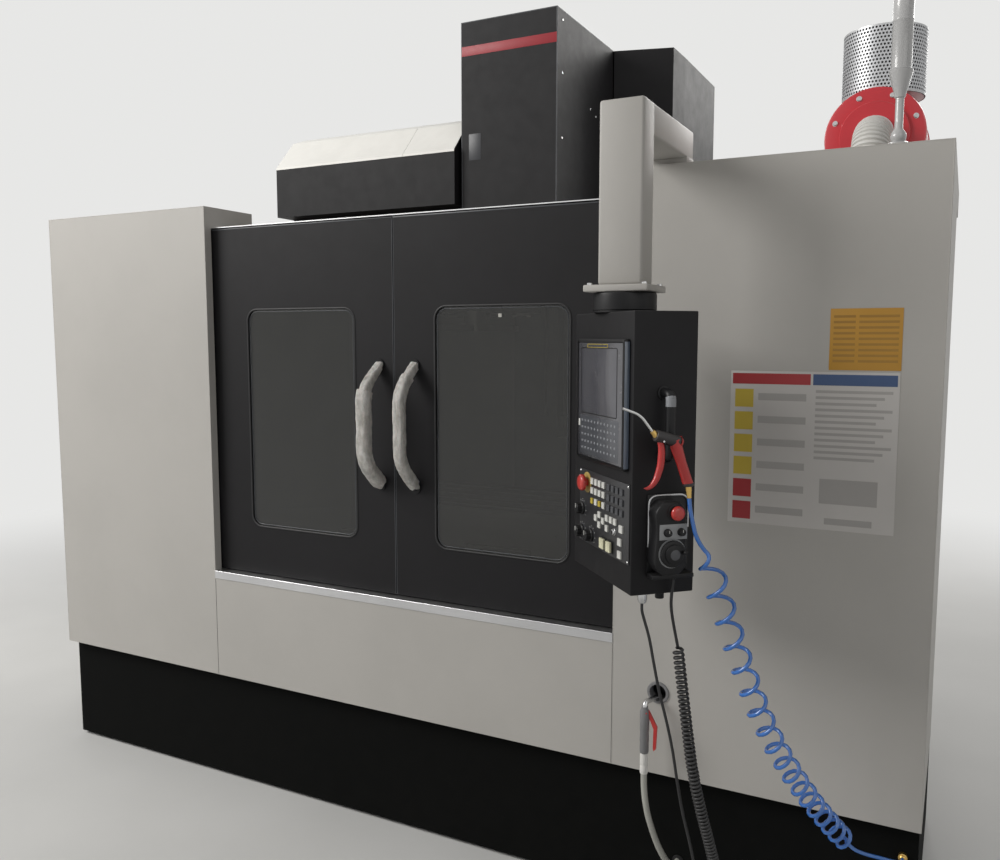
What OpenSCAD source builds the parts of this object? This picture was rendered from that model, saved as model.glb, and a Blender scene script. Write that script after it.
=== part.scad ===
// Vertical machining center with a sliding-door enclosure, swinging operator
// pendant, side-mounted tool magazine and oil mist collector.
// All sizes are in millimetres. X runs along the front, Y runs into the machine
// and Z is up. The drawing is laid out from the front panels (Y = 0) and the
// seam between the doors (X = 0), then moved by origin_y to the centre of the
// footprint.

/* [Enclosure] */
// Overall width of the enclosure
body_w = 3110; // [3000:10:3300]
// Width of the door opening
opening_w = 1500; // [1400:10:1560]
// Height of the panels' lower edge above the floor
panel_z = 400; // [380:5:420]
// Height of the front box's roof
roof_z = 2060; // [2040:5:2100]
// Height of the roof over the doors
mid_roof_z = 1990; // [1980:5:2000]
// Thickness of the folded sheet metal
sheet = 3; // [2:0.5:4]
// Depth of the full-width side covers
side_d = 650; // [560:10:800]
// Depth of the full-width front box
front_box_d = 900; // [880:5:912]
// Depth of the raised box at the left end
left_box_d = 235; // [180:5:300]
// How far each side cover steps in behind its full-width part
side_step = 55; // [30:5:80]
// Half width of the narrower rear part
rear_half_w = 1330; // [1310:5:1400]
// Depth of the return folds on the front covers
fold_d = 30; // [20:1:31]
// Setback of the dark plinth behind the front panels
plinth_back = 38; // [30:1:50]
// Setback of the dark plinth at the sides
plinth_side = 5; // [2:1:20]
// Gap under the plinth
plinth_gap = 12; // [8:1:20]
// Width of the plinth's top flange
plinth_flange = 60; // [40:5:80]

/* [Doors] */
// Depth of the doors' front face behind the front panels
door_y = 36; // [34:0.5:40]
// Depth of a door's folded edge
door_d = 40; // [30:1:50]
// Height of the doors' lower edge
door_z0 = 786; // [784:1:790]
// Height of the doors' upper edge
door_z1 = 1984; // [1970:1:1986]
// How far a door reaches behind its front panel when closed
door_lap = 30; // [15:1:50]
// Gap between the two doors at the seam
seam_gap = 3; // [1:0.5:6]
// Near edge of each window, from the seam
window_x0 = 150; // [130:5:200]
// Far edge of each window, from the seam
window_x1 = 600; // [560:5:640]
// Lower edge of the windows
window_z0 = 955; // [920:5:1000]
// Upper edge of the windows
window_z1 = 1706; // [1650:5:1750]
// Corner radius of the windows
window_r = 40; // [20:2:60]
// Thickness of the window panes
pane_t = 8; // [5:1:12]
// How far a pane laps behind the edge of its opening
pane_lap = 25; // [15:1:35]

/* [Door handles] */
// Left handle's distance from the seam
handle_xl = 54; // [45:1:70]
// Right handle's distance from the seam
handle_xr = 78; // [60:1:90]
// Upper end of the handles on the doors
handle_z1 = 1525; // [1500:5:1580]
// Lower end of the handles on the doors
handle_z0 = 1140; // [1100:5:1150]
// Upper end of the handles' straight grip
grip_z1 = 1450; // [1420:5:1480]
// Lower end of the handles' straight grip
grip_z0 = 1225; // [1190:5:1240]
// Distance of the grip's axis in front of the doors
handle_out = 90; // [70:1:100]
// Radius of the bare handle bar
handle_r = 15; // [12:0.5:18]
// Radius over the handle's foam wrap
wrap_r = 21.5; // [19:0.5:24]

/* [Sill and rails] */
// Top of the bright sill under the doors
sill_z = 783; // [778:1:783.5]
// Height of the sill's front lip
sill_lip = 27; // [15:1:35]
// How far the sill stands proud of the lower front cover
sill_proud = 2; // [1:0.5:4]

/* [Bed and column] */
// Half width of the bed casting
bed_half_w = 550; // [520:5:555]
// Front end of the bed
bed_y0 = 250; // [240:5:290]
// Rear end of the bed
bed_y1 = 2300; // [2200:10:2320]
// Top of the bed
bed_z = 560; // [550:2:570]
// Underside of the bed
bed_z0 = 100; // [80:5:120]
// Half width of the column
column_half_w = 400; // [380:5:410]
// Front of the column's main body
column_y0 = 1560; // [1558:1:1575]
// Rear of the column
column_y1 = 2150; // [2100:5:2180]
// Top of the column
column_z1 = 2500; // [2490:5:2560]
// Half width of the column's slideway block
way_half_w = 300; // [270:5:305]
// Front of the column's slideway block
way_y = 1500; // [1498:1:1510]
// Width of the linear rails
rail_w = 40; // [30:1:45]
// Height of the linear rails
rail_h = 28; // [24:1:29]
// Running gap between each carriage and its rail
rail_gap = 0.3; // [0.2:0.05:0.5]
// Radius of the leveling feet
foot_r = 80; // [70:1:90]
// Thickness of the leveling feet
foot_t = 20; // [16:1:24]
// Radius of the leveling screws
foot_screw_r = 15; // [12:1:18]
// Radius of the anchor holes in the feet
anchor_r = 9; // [7:0.5:11]
// Anchor holes' distance from the leveling screws
anchor_off = 55; // [45:1:60]
// Feet's distance from the machine's centre line
foot_x = 450; // [420:5:460]
// Front row of feet
foot_y0 = 400; // [360:10:440]
// Rear row of feet
foot_y1 = 2150; // [2100:10:2200]

/* [Table and saddle] */
// Length of the table
table_l = 1250; // [1100:10:1300]
// Depth of the table
table_d = 520; // [480:5:540]
// Height of the table's top face
table_z = 950; // [945:1:960]
// Thickness of the table plate
table_t = 70; // [65:1:75]
// Width of the T-slots' necks
slot_w = 18; // [14:1:22]
// Spacing of the T-slots
slot_pitch = 100; // [80:5:110]
// Half length of the saddle
saddle_half_l = 780; // [760:5:800]
// Half depth of the saddle
saddle_half_d = 270; // [260:5:280]
// Height of the saddle's top face
saddle_z = 760; // [740:2:764]
// Centre of the table's travel, which is the spindle axis
spindle_y = 960; // [955:1:970]
// Radius of the ball screws
screw_r = 20; // [16:1:22]
// Running clearance of the ball screws in their bearings
screw_fit = 0.05; // [0.02:0.01:0.1]

/* [Head] */
// Height of the spindle's nose with the head at the top
nose_z = 1700; // [1698:1:1720]
// Radius of the spindle
spindle_r = 44.45; // [40:0.05:50]
// Large radius of the tool taper
taper_r = 22.225; // [20:0.005:24]
// Depth of the tool taper
taper_l = 65.4; // [60:0.1:70]
// Running clearance of the spindle in the head
spindle_fit = 0.05; // [0.02:0.01:0.1]
// Half width of the head casting
head_half_w = 170; // [150:2:175]
// Front of the head casting
head_y0 = 862; // [856:2:880]
// Half width of the head's sheet cover
cover_half_w = 204; // [198:1:210]
// Front of the head's sheet cover
cover_y0 = 830; // [825:1:840]
// Rear of the head's sheet cover
cover_y1 = 1420; // [1410:1:1424]
// Top of the head's sheet cover
cover_z1 = 2826; // [2790:2:2860]
// Top of the column's sheet cover
column_cover_z1 = 2822; // [2790:2:2860]
// Half width of the column's sheet cover
column_cover_half_w = 451; // [448:1:458]

/* [Tool changer] */
// Distance of the change arm's shaft left of the spindle axis
arm_dx = 300; // [298:1:303]
// Distance of the change arm's shaft behind the spindle axis
arm_dy = 150; // [145:1:155]
// Thickness of the change arm
arm_t = 25; // [20:1:28]
// Height of the change arm's top face
arm_z = 1665; // [1660:1:1670]
// Radius of the change arm's shaft
arm_shaft_r = 32; // [28:1:36]
// Radius of the shaft's lifting sleeve
sleeve_r = 45; // [42:1:50]
// Running clearance of the arm's shaft and sleeve
arm_fit = 0.05; // [0.02:0.01:0.1]
// Number of tool pots
pots = 24; // [20:2:24]
// Pitch radius of the tool pots
pot_pitch_r = 300; // [298:1:306]
// Radius of a tool pot
pot_r = 32; // [28:0.5:33]
// Height of the tool disc's axis
disc_z = 2050; // [2046:1:2056]
// Upper edge of the magazine cover's front
mag_front_z1 = 2345; // [2320:5:2360]
// Lower edge of the magazine cover's front
mag_front_z0 = 2135; // [2120:5:2150]
// Front of the magazine cover
mag_y = 800; // [790:2:810]
// Top of the magazine cover
mag_top_z = 2500; // [2480:5:2540]
// Left end of the magazine cover
mag_x0 = -1118; // [-1140:2:-1100]
// Right end of the magazine cover
mag_x1 = -220; // [-226:1:-214]

/* [Pendant] */
// Pendant arm's distance right of the seam
arm_x = 879; // [870:1:890]
// Pendant arm's distance in front of the panels
arm_front = 302; // [298:1:310]
// Width of the pendant arm's post
post_w = 108; // [96:1:116]
// Depth of the pendant arm's post
post_d = 78; // [70:1:90]
// Lower end of the pendant arm's post
post_z0 = 1731; // [1728:1:1740]
// Underside of the pendant arm's beam
beam_z0 = 2074; // [2070:1:2080]
// Top of the pendant arm's beam
beam_z1 = 2150; // [2140:1:2160]
// Turn of the pendant away from facing straight ahead
pendant_turn = 46; // [40:1:50]
// Width of the pendant box
pendant_w = 340; // [330:2:350]
// Depth of the pendant box
pendant_d = 154; // [148:2:160]
// Underside of the pendant box
pendant_z0 = 1040; // [1030:2:1046]
// Top of the pendant box
pendant_z1 = 1668; // [1660:1:1680]
// Pendant box's centre, right of the swivel axis
pendant_dx = 11; // [5:1:15]
// Pendant box's centre, behind the swivel axis
pendant_dy = 18; // [12:1:24]
// Radius of the swivel's round collar
collar_r = 75; // [68:1:76]
// Running gap above the swivel's collar
collar_gap = 0.4; // [0.3:0.1:1]
// Radius of the swivel's hollow pin
swivel_r = 30; // [26:1:34]
// Running clearance of the swivel's pin
swivel_fit = 0.05; // [0.02:0.01:0.1]
// How far the display unit stands proud
display_proud = 14; // [10:1:18]
// How far the operator panel stands proud
panel_proud = 3; // [2:0.5:4]
// Width of a square key
key_w = 15; // [12:0.5:16]
// How far a key stands proud of its panel
key_h = 4; // [3:0.5:6]
// Gap between a push button's stem and its hole
stem_gap = 0.3; // [0.2:0.05:0.5]
// Radius of the emergency stop's mushroom head
estop_r = 20; // [18:0.5:22]
// Travel of the emergency stop
estop_travel = 6; // [4:0.5:7]
// Radius of the override knobs
knob_r = 17; // [14:0.5:19]
// Height of the override knobs
knob_h = 18; // [14:1:22]

/* [Mist collector] */
// Radius of the separator drum
drum_r = 141; // [130:1:142]
// Length of the separator drum
drum_l = 250; // [220:5:280]
// Front face of the separator drum
drum_y = 600; // [590:5:620]
// Distance of the drum's axis right of the seam
drum_x = 1327; // [1320:1:1340]
// Radius of the filter cage
cage_r = 118; // [110:1:122]
// Top of the filter cage
cage_z1 = 2560; // [2530:5:2600]
// Radius of the corrugated duct
duct_r = 53; // [48:1:56]

/* [Rear units] */
// Gap between the column's cover and the electrical cabinet
cabinet_gap = 19; // [12:1:40]
// Depth of the electrical cabinet
cabinet_d = 400; // [350:10:430]
// Underside of the electrical cabinet
cabinet_z0 = 600; // [580:10:650]
// Top of the electrical cabinet
cabinet_z1 = 2050; // [1950:10:2060]
// Height of the coolant tank
tank_h = 440; // [380:10:460]

/* [Hoses and cords] */
// Radius of the blue air hose
air_hose_r = 4; // [3:0.5:5]
// Outer radius of the air hose's coil
air_coil_r = 30; // [24:1:34]
// Radius of the handwheel cord
pulse_cord_r = 3.5; // [3:0.5:4]
// Outer radius of the handwheel's curly cord
pulse_coil_r = 14; // [12:1:16]
// Radius of the wash gun's hose
wash_hose_r = 9; // [7:0.5:10]

/* [Hidden] */
$fn = 48;

half_w = body_w / 2;
half_open = opening_w / 2;
skirt_half_w = half_w - plinth_side;
rear_y = bed_y1;
wall_y = column_y0 - 8;
liner_half_w = rear_half_w - 30;
liner_y = 110;
floor_z = bed_z;

// Spindle, change arm and magazine share one layout
arm_pivot = [-arm_dx, spindle_y + arm_dy];
pot_x = -2 * arm_dx;
disc_y = spindle_y + 2 * arm_dy;
arm_len = sqrt(arm_dx * arm_dx + arm_dy * arm_dy);
arm_shaft_l = 57;
pot_l = 105;
pot_mouth = 50;
pot_rear_x = pot_x + pot_l - pot_mouth;
disc_x1 = pot_x + 98;
disc_x0 = disc_x1 - 18;
disc_r = pot_pitch_r + 28;
lug_t = 5;
pot_pin_r = 5;
hub_r = 90;
disc_shaft_r = 40;
disc_fit = 0.05;

// Distance between the two lugs that carry a pot, at the height of its pins
pot_span = 2 * pot_pitch_r * tan(180 / pots) - lug_t / cos(180 / pots) + 1;

// Door rollers and the track that they run on
roller_r = 12;
roller_z = door_z1 - 40;
track_y = 90;
slide_gap = 0.3;

// Axes of the ball screws
y_screw_z = bed_z - 10;
x_screw_z = saddle_z + 22;
z_screw_y = way_y + 12;

// Pendant frame: local X to the right, local Y to the rear
gun_plane = pendant_w / 2 + 61.5;
grab_out = 35;
grab_r = 11;
grab_y = -5;
gun_tip = [gun_plane, -130];
front_reach = arm_front + (gun_tip[0] + pendant_dx) * sin(pendant_turn)
    - (gun_tip[1] + pendant_dy) * cos(pendant_turn) + 2;
origin_y = (rear_y - front_reach) / 2;

// Connector, air gun and handwheel unit, in the pendant's local frame
pulse_plug_x = 110;
pulse_plug_y = -19;
gun_pin = [-40, 1392];
pulse_y = [-41, 36];
pulse_z = [1092, 1256];
pulse_t = 42;
pulse_stop_at = [6, 1232];
pulse_dial_at = [-1, 1142];
pulse_dial_r = 30;

// Wash gun and the port that it hangs in
wash_x = 867;
wash_y = -60;
wash_pin = [wash_x + 8, 600];
port_at = [885, 635];

// Places of the cabinet and of the hoses' fittings on the plinth
cabinet_x = [column_cover_half_w + cabinet_gap, rear_half_w];
drive_pitch = (cabinet_x[1] - cabinet_x[0] - 140) / 4;
cabinet_y = [1700, 1700 + cabinet_d];
air_supply_at = [half_w - 40, 312];
wash_gland_at = [940, 140];

// Operator panel layout, in the pendant's local X and Z
panel_x = [-128, 162];
panel_zs = [1107, 1288];
display_x = [-124, 152];
display_zs = [1316, 1607];
screen_x = [-95, 111];
screen_zs = [1432, 1584];
estop_at = [-78, 1258];
speed_at = [-107, 1189];
mode_at = [-108, 1132];
feed_at = [-50, 1132];
start_at = [29, 1129];
hold_at = [66, 1129];
button_w = 24;
white_keys = [[-43, 1266], [-20, 1266], [2, 1266], [25, 1266], [-43, 1243],
    [-20, 1243], [2, 1243], [25, 1243], [-20, 1218], [25, 1218], [2, 1192],
    [-19, 1181], [24, 1181], [2, 1168], [46, 1192], [70, 1192], [92, 1192],
    [46, 1168], [126, 1182], [119, 1151], [119, 1122]];
dark_keys = [for (x = [54 : 24 : 126]) for (z = [1218 : 24 : 1266]) [x, z]];

// Hose and cord routes, chosen by hand
air_top_route = [[1081.4, -443.8, 1265.3], [1084, -443, 1240],
    [1090, -441, 1210], [1096, -438, 1185], [1104, -432, 1165],
    [1113.3, -424.5, 1149.1]];
air_coil_route = [[1114, -424, 1148], [1128, -408, 1092], [1146, -387, 1020],
    [1166, -364, 940], [1190, -336, 850], [1216, -306, 760],
    [1248, -269, 670], [1286, -225, 584], [1326, -178, 504],
    [1366, -132, 434], [1394, -100, 388]];
air_tail_route = [[1394.3, -99.7, 387.6], [1412, -78, 362],
    [1436, -50, 342], [1464, -26, 328], [1491, -10, 318], [1508, 1, 313],
    [air_supply_at[0] - 0.4, 11, air_supply_at[1]],
    [air_supply_at[0], 19.6, air_supply_at[1]]];
pulse_lead_route = [[1045.1, -423.6, 1077.2], [1041, -421, 1050],
    [1037, -413, 1020], [1036, -401, 990], [1037, -388, 960],
    [1039, -377, 932], [1041.9, -369.3, 906]];
pulse_coil_route = [[1042, -369, 905], [1048, -365, 850], [1056, -361, 780],
    [1064, -356, 710], [1074, -351, 630], [1086, -345, 560],
    [1099, -339, 500], [1112, -332, 445], [1124, -326, 395],
    [1130, -323, 352]];
pulse_return_route = [[1130, -323, 351.3], [1131, -322, 320],
    [1122, -324, 296], [1106, -328, 288], [1092, -331, 300],
    [1085, -333, 330], [1080, -334, 380], [1070, -338, 430],
    [1054, -344, 500], [1042, -349, 570], [1030, -354, 650],
    [1016, -360, 720], [1000, -368, 790], [988, -376, 860],
    [978, -382, 920], [968, -387, 960], [962, -390, 985],
    [962, -390, 1004]];
wash_hose_route = [[867, -60, 424.4], [868, -60, 390], [872, -60, 350],
    [880, -60, 310], [892, -58, 270], [906, -54, 230], [920, -46, 196],
    [932, -32, 168], [938, -12, 150], [940, 12, 141], [940, 24, 140],
    [940, 33.6, 140]];

// General shapes

module placed() {
    translate([0, -origin_y, 0])
        children();
}

// Box between two corners given as ranges
module block(x, y, z) {
    translate([x[0], y[0], z[0]])
        cube([x[1] - x[0], y[1] - y[0], z[1] - z[0]]);
}

module mirrored() {
    children();
    mirror([1, 0, 0])
        children();
}

// Round bar between two points
module rod(p, q, r, r2 = 0) {
    d = q - p;
    len = norm(d);
    translate(p)
        rotate([0, acos(d[2] / len), atan2(d[1], d[0])])
            cylinder(h = len, r1 = r, r2 = r2 > 0 ? r2 : r);
}

// Cylinder along X, with its axis at the given Y and Z
module disc_along_x(x, y, z, r) {
    translate([x[0], y, z])
        rotate([0, 90, 0])
            cylinder(h = x[1] - x[0], r = r);
}

// Cylinder along Y, with its axis at the given X and Z
module disc_along_y(y, x, z, r) {
    translate([x, y[1], z])
        rotate([90, 0, 0])
            cylinder(h = y[1] - y[0], r = r);
}

// Cylinder along Z, with its axis at the given X and Y
module disc_along_z(z, x, y, r) {
    translate([x, y, z[0]])
        cylinder(h = z[1] - z[0], r = r);
}

// Rectangle with round corners between two corners
module round_rect(x, z, r) {
    translate([x[0] + r, z[0]])
        square([x[1] - x[0] - 2 * r, z[1] - z[0]]);
    translate([x[0], z[0] + r])
        square([x[1] - x[0], z[1] - z[0] - 2 * r]);
    for (cx = [x[0] + r, x[1] - r], cz = [z[0] + r, z[1] - r])
        translate([cx, cz])
            circle(r = r);
}

// Plate facing the front, with round corners
module round_plate(x, y, z, r) {
    translate([0, y[1], 0])
        rotate([90, 0, 0])
            linear_extrude(y[1] - y[0])
                round_rect(x, z, r);
}

// Shape drawn in Y and Z, drawn out along X
module along_x(x) {
    translate([x[0], 0, 0])
        rotate([90, 0, 90])
            linear_extrude(x[1] - x[0])
                children();
}

// Plain tube swept along a route of points
function unit(v) = v / norm(v);
function tangent(p, i) =
    i == 0 ? unit(p[1] - p[0])
    : i == len(p) - 1 ? unit(p[i] - p[i - 1])
    : unit(unit(p[i + 1] - p[i]) + unit(p[i] - p[i - 1]));
function side_of(t) =
    unit(cross(t, abs(t[1]) < 0.9 ? [0, 1, 0] : [1, 0, 0]));

module swept_tube(route, r, sides = 10) {
    n = len(route);
    ring = [for (i = [0 : n - 1])
        let (t = tangent(route, i), u = side_of(t), v = cross(t, u))
        for (k = [0 : sides - 1])
            route[i] + r * (cos(360 * k / sides) * u + sin(360 * k / sides) * v)];
    skin = [for (i = [0 : n - 2]) for (k = [0 : sides - 1])
        let (a = i * sides + k, b = i * sides + (k + 1) % sides)
        [a, b, b + sides, a + sides]];
    first = [for (k = [sides - 1 : -1 : 0]) k];
    last = [for (k = [0 : sides - 1]) (n - 1) * sides + k];
    polyhedron(points = ring, faces = concat(skin, [first], [last]),
        convexity = 6);
}

// Foundation

module bed() {
    way_x = 330;
    pocket_h = 120;
    color("dimgray")
    difference() {
        union() {
            block([-bed_half_w, bed_half_w], [bed_y0, bed_y1], [bed_z0, bed_z]);
            mirrored()
                block([way_x - rail_w / 2, way_x + rail_w / 2],
                    [bed_y0 + 150, way_y - 2], [bed_z, bed_z + rail_h]);
        }
        // Pockets between the ribs under the casting
        for (x = [-360, 0, 360], y = [640, 1040, 1510, 1910])
            block([x - 150, x + 150], [y - 180, y + 180],
                [bed_z0 - 1, bed_z0 + pocket_h]);
        // Trough for the screw that drives the saddle
        block([-70, 70], [bed_y0 + 90, way_y - 10], [bed_z - 60, bed_z + 1]);
    }
    color("dimgray")
    for (y = [bed_y0 + 92, way_y - 52])
        difference() {
            block([-60, 60], [y, y + 40], [bed_z - 60, y_screw_z + 32]);
            disc_along_y([y - 1, y + 41], 0, y_screw_z, screw_r + screw_fit);
        }
}

module leveling_feet() {
    color("darkslategray")
    for (side = [-1, 1], y = [foot_y0, (foot_y0 + foot_y1) / 2, foot_y1])
        difference() {
            union() {
                disc_along_z([0, foot_t], side * foot_x, y, foot_r);
                disc_along_z([foot_t, bed_z0], side * foot_x, y, foot_screw_r);
                disc_along_z([bed_z0 - 22, bed_z0], side * foot_x, y,
                    foot_screw_r + 9);
            }
            disc_along_z([-1, foot_t + 1], side * (foot_x + anchor_off), y,
                anchor_r);
        }
}

// Plan outline of the enclosure, drawn in by a distance
module plan(inset, rear) {
    translate([-skirt_half_w + inset, plinth_back + inset])
        square([2 * (skirt_half_w - inset), front_box_d - 5 - plinth_back - 2 * inset]);
    translate([-rear_half_w + 5 + inset, plinth_back + inset])
        square([2 * (rear_half_w - 5 - inset), rear - plinth_back - 2 * inset]);
}

module base_skirt() {
    color("#17181a")
    difference() {
        union() {
            translate([0, 0, plinth_gap])
                linear_extrude(panel_z - plinth_gap)
                    difference() {
                        plan(0, wall_y - 3);
                        plan(sheet, wall_y - 3);
                    }
            translate([0, 0, panel_z - sheet])
                linear_extrude(sheet)
                    difference() {
                        plan(0, wall_y - 3);
                        plan(plinth_flange, wall_y - 3);
                    }
        }
        block([-bed_half_w - 10, bed_half_w + 10], [wall_y - 100, wall_y + 10],
            [0, panel_z + 1]);
        // Seat of the air supply fitting
        disc_along_y([plinth_back - 1, plinth_back + sheet + 1], air_supply_at[0],
            air_supply_at[1], 9);
        // Seat of the wash hose's gland
        disc_along_y([plinth_back - 1, plinth_back + sheet + 1], wash_gland_at[0],
            wash_gland_at[1], 13);
    }
}

// Enclosure

// Front cover between two X values, with folds along its seam and foot
module front_cover(x, seam_x, box_d) {
    block(x, [0, sheet], [panel_z, roof_z]);
    // Fold along the door seam, deep above the doors
    inner = seam_x < 0 ? [seam_x - sheet, seam_x] : [seam_x, seam_x + sheet];
    block(inner, [sheet, fold_d], [panel_z, mid_roof_z - sheet]);
    block(inner, [sheet, box_d], [mid_roof_z, roof_z - sheet]);
    block([x[0] + 10, x[1] - 10], [sheet, plinth_back + plinth_flange - 10],
        [panel_z, panel_z + sheet]);
}

module left_front_cover() {
    color("#d7d8d9")
        front_cover([-half_w, -half_open], -half_open, left_box_d);
}

module right_front_cover() {
    color("#d7d8d9")
    difference() {
        front_cover([half_open, half_w], half_open, front_box_d);
        disc_along_y([-1, sheet + 1], port_at[0], port_at[1], 26);
    }
}

module lower_front_cover() {
    color("#d7d8d9") {
        block([-half_open, half_open], [0, sheet], [panel_z, sill_z - sill_lip]);
        block([-half_open + 5, half_open - 5],
            [sheet, plinth_back + plinth_flange - 10],
            [panel_z, panel_z + sheet]);
        block([-half_open + 5, half_open - 5], [sheet, fold_d],
            [sill_z - sill_lip - sheet, sill_z - sill_lip]);
    }
}

module door_rails() {
    tread = 41;
    color("silver") {
        // Sill with a front lip and an upstand behind the doors
        block([-half_open, half_open], [-sill_proud, tread],
            [sill_z - sheet, sill_z]);
        block([-half_open, half_open], [-sill_proud, 0],
            [sill_z - sill_lip, sill_z - sheet]);
        block([-half_w + 60, half_w - 60], [tread, liner_y],
            [sill_z - sheet, sill_z]);
        block([-half_w + 60, half_w - 60], [fold_d, tread + 10],
            [sill_z - 40, sill_z - sheet]);
        // Rail over the doors, with the track that their rollers run on
        block([-half_open, half_open], [door_y - 4, door_y + door_d + 20],
            [mid_roof_z - sheet, mid_roof_z]);
        block([-half_w + 60, half_w - 60], [track_y, track_y + 4],
            [roller_z - roller_r - 4, mid_roof_z - sheet]);
        block([-half_w + 60, half_w - 60], [door_y + door_d + sheet + 1, track_y],
            [roller_z - roller_r - 4, roller_z - roller_r - slide_gap]);
    }
}

module enclosure_shell() {
    step_x = half_w - side_step;
    color("#d2d3d4") {
        // Side covers
        mirrored() {
            block([half_w - sheet, half_w], [sheet, side_d],
                [panel_z, mid_roof_z - sheet]);
            block([step_x - sheet, half_w - sheet], [side_d - sheet, side_d],
                [panel_z, mid_roof_z - sheet]);
            block([step_x - sheet, step_x], [side_d, front_box_d],
                [panel_z, mid_roof_z - sheet]);
            block([rear_half_w, step_x - sheet],
                [front_box_d - sheet, front_box_d],
                [panel_z, mid_roof_z - sheet]);
            block([rear_half_w - sheet, rear_half_w],
                [front_box_d - sheet, wall_y],
                [panel_z, mid_roof_z - sheet]);
        }
        // Roof over the doors, with its openings for the head and the tool disc
        difference() {
            union() {
                block([-half_w, half_open], [door_y + door_d + 20, front_box_d],
                    [mid_roof_z - sheet, mid_roof_z]);
                block([half_open, half_w], [sheet, front_box_d],
                    [mid_roof_z - sheet, mid_roof_z]);
                block([-rear_half_w, rear_half_w], [front_box_d, wall_y],
                    [mid_roof_z - sheet, mid_roof_z]);
                block([-half_w, -half_open], [sheet, door_y + door_d + 20],
                    [mid_roof_z - sheet, mid_roof_z]);
            }
            block([-240, 240], [cover_y0 - 30, way_y],
                [mid_roof_z - 10, mid_roof_z + 10]);
            block([-way_half_w - 5, way_half_w + 5], [way_y - 5, wall_y + 1],
                [mid_roof_z - 10, mid_roof_z + 10]);
            block([pot_x - 90, pot_x + 220],
                [disc_y - disc_r - 12, wall_y + 1],
                [mid_roof_z - 10, mid_roof_z + 10]);
        }
        // Raised box at the left end
        block([-half_w, -half_open], [sheet, left_box_d],
            [roof_z - sheet, roof_z]);
        block([-half_w, -half_w + sheet], [sheet, left_box_d],
            [mid_roof_z, roof_z - sheet]);
        block([-half_w + sheet, -half_open - sheet],
            [left_box_d - sheet, left_box_d], [mid_roof_z, roof_z - sheet]);
        // Raised box at the right end, which carries the mist collector
        difference() {
            block([half_open, half_w], [sheet, front_box_d],
                [roof_z - sheet, roof_z]);
            disc_along_z([roof_z - 10, roof_z + 10], drum_x, drum_y - 110,
                duct_r - 4);
        }
        block([half_w - sheet, half_w], [sheet, front_box_d],
            [mid_roof_z, roof_z - sheet]);
        block([half_open + sheet, half_w - sheet],
            [front_box_d - sheet, front_box_d], [mid_roof_z, roof_z - sheet]);
    }
}

module chamber_liner() {
    color("#b9bcbe") {
        // Side walls
        mirrored()
            block([liner_half_w, liner_half_w + sheet],
                [liner_y, wall_y - sheet],
                [floor_z + sheet, mid_roof_z - sheet]);
        // Floor on the bed's edges
        difference() {
            block([-liner_half_w - sheet, liner_half_w + sheet],
                [liner_y, wall_y], [floor_z, floor_z + sheet]);
            block([-bed_half_w + 50, bed_half_w - 50],
                [bed_y0 + 50, wall_y - sheet],
                [floor_z - 1, floor_z + sheet + 1]);
            block([-way_half_w - 5, way_half_w + 5],
                [wall_y - sheet - 1, wall_y + 1],
                [floor_z - 1, floor_z + sheet + 1]);
        }
        // Front walls under and beside the doors
        block([-liner_half_w, liner_half_w], [liner_y, liner_y + sheet],
            [floor_z + sheet, sill_z]);
        mirrored()
            block([half_open, liner_half_w], [liner_y, liner_y + sheet],
                [sill_z, mid_roof_z - sheet]);
    }
    // Lamp under the roof
    color("white")
        block([-420, 420], [150, 200], [mid_roof_z - 40, mid_roof_z - sheet]);
}

// Rear wall of the chamber, open round the column and the tool disc
module chamber_wall() {
    color("#b9bcbe")
    difference() {
        block([-rear_half_w + sheet, rear_half_w - sheet],
            [wall_y - sheet, wall_y], [floor_z + sheet, mid_roof_z - sheet]);
        block([-way_half_w - 5, way_half_w + 5],
            [wall_y - 10, wall_y + 10], [bed_z, mid_roof_z]);
        block([pot_x - 90, pot_x + 220], [wall_y - 10, wall_y + 10],
            [disc_z - disc_r - 12, mid_roof_z]);
    }
}

// One sliding door, drawn for the right half and mirrored for the left
module door_half() {
    x0 = seam_gap / 2;
    x1 = half_open + door_lap;
    rear = door_y + door_d;
    win_x = [window_x0, window_x1];
    win_z = [window_z0, window_z1];
    pane_x = [window_x0 - pane_lap, window_x1 + pane_lap];
    pane_z = [window_z0 - pane_lap, window_z1 + pane_lap];
    ring = 12;
    difference() {
        union() {
            block([x0, x1], [door_y, door_y + sheet], [door_z0, door_z1]);
            for (x = [[x0, x0 + sheet], [x1 - sheet, x1]])
                block(x, [door_y + sheet, rear], [door_z0, door_z1]);
            for (z = [[door_z0, door_z0 + sheet], [door_z1 - sheet, door_z1]])
                block([x0 + sheet, x1 - sheet], [door_y + sheet, rear], z);
            // Frame that clamps the pane
            block([pane_x[0] - ring, pane_x[1] + ring],
                [door_y + sheet, door_y + 2 * sheet + pane_t],
                [pane_z[0] - ring, pane_z[1] + ring]);
        }
        round_plate(win_x, [door_y - 1, rear], win_z, window_r);
        block([pane_x[0] - 1, pane_x[1] + 1],
            [door_y + sheet, door_y + sheet + pane_t],
            [pane_z[0] - 1, pane_z[1] + 1]);
    }
    // Hangers with rollers for the track
    for (x = [x0 + 120, x1 - 120]) {
        block([x - 30, x + 30], [rear, rear + sheet], [door_z1 - 90, door_z1]);
        disc_along_y([rear + sheet, track_y - slide_gap], x, roller_z, roller_r);
    }
}

module pane() {
    block([window_x0 - pane_lap, window_x1 + pane_lap],
        [door_y + sheet, door_y + sheet + pane_t],
        [window_z0 - pane_lap, window_z1 + pane_lap]);
}

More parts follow.
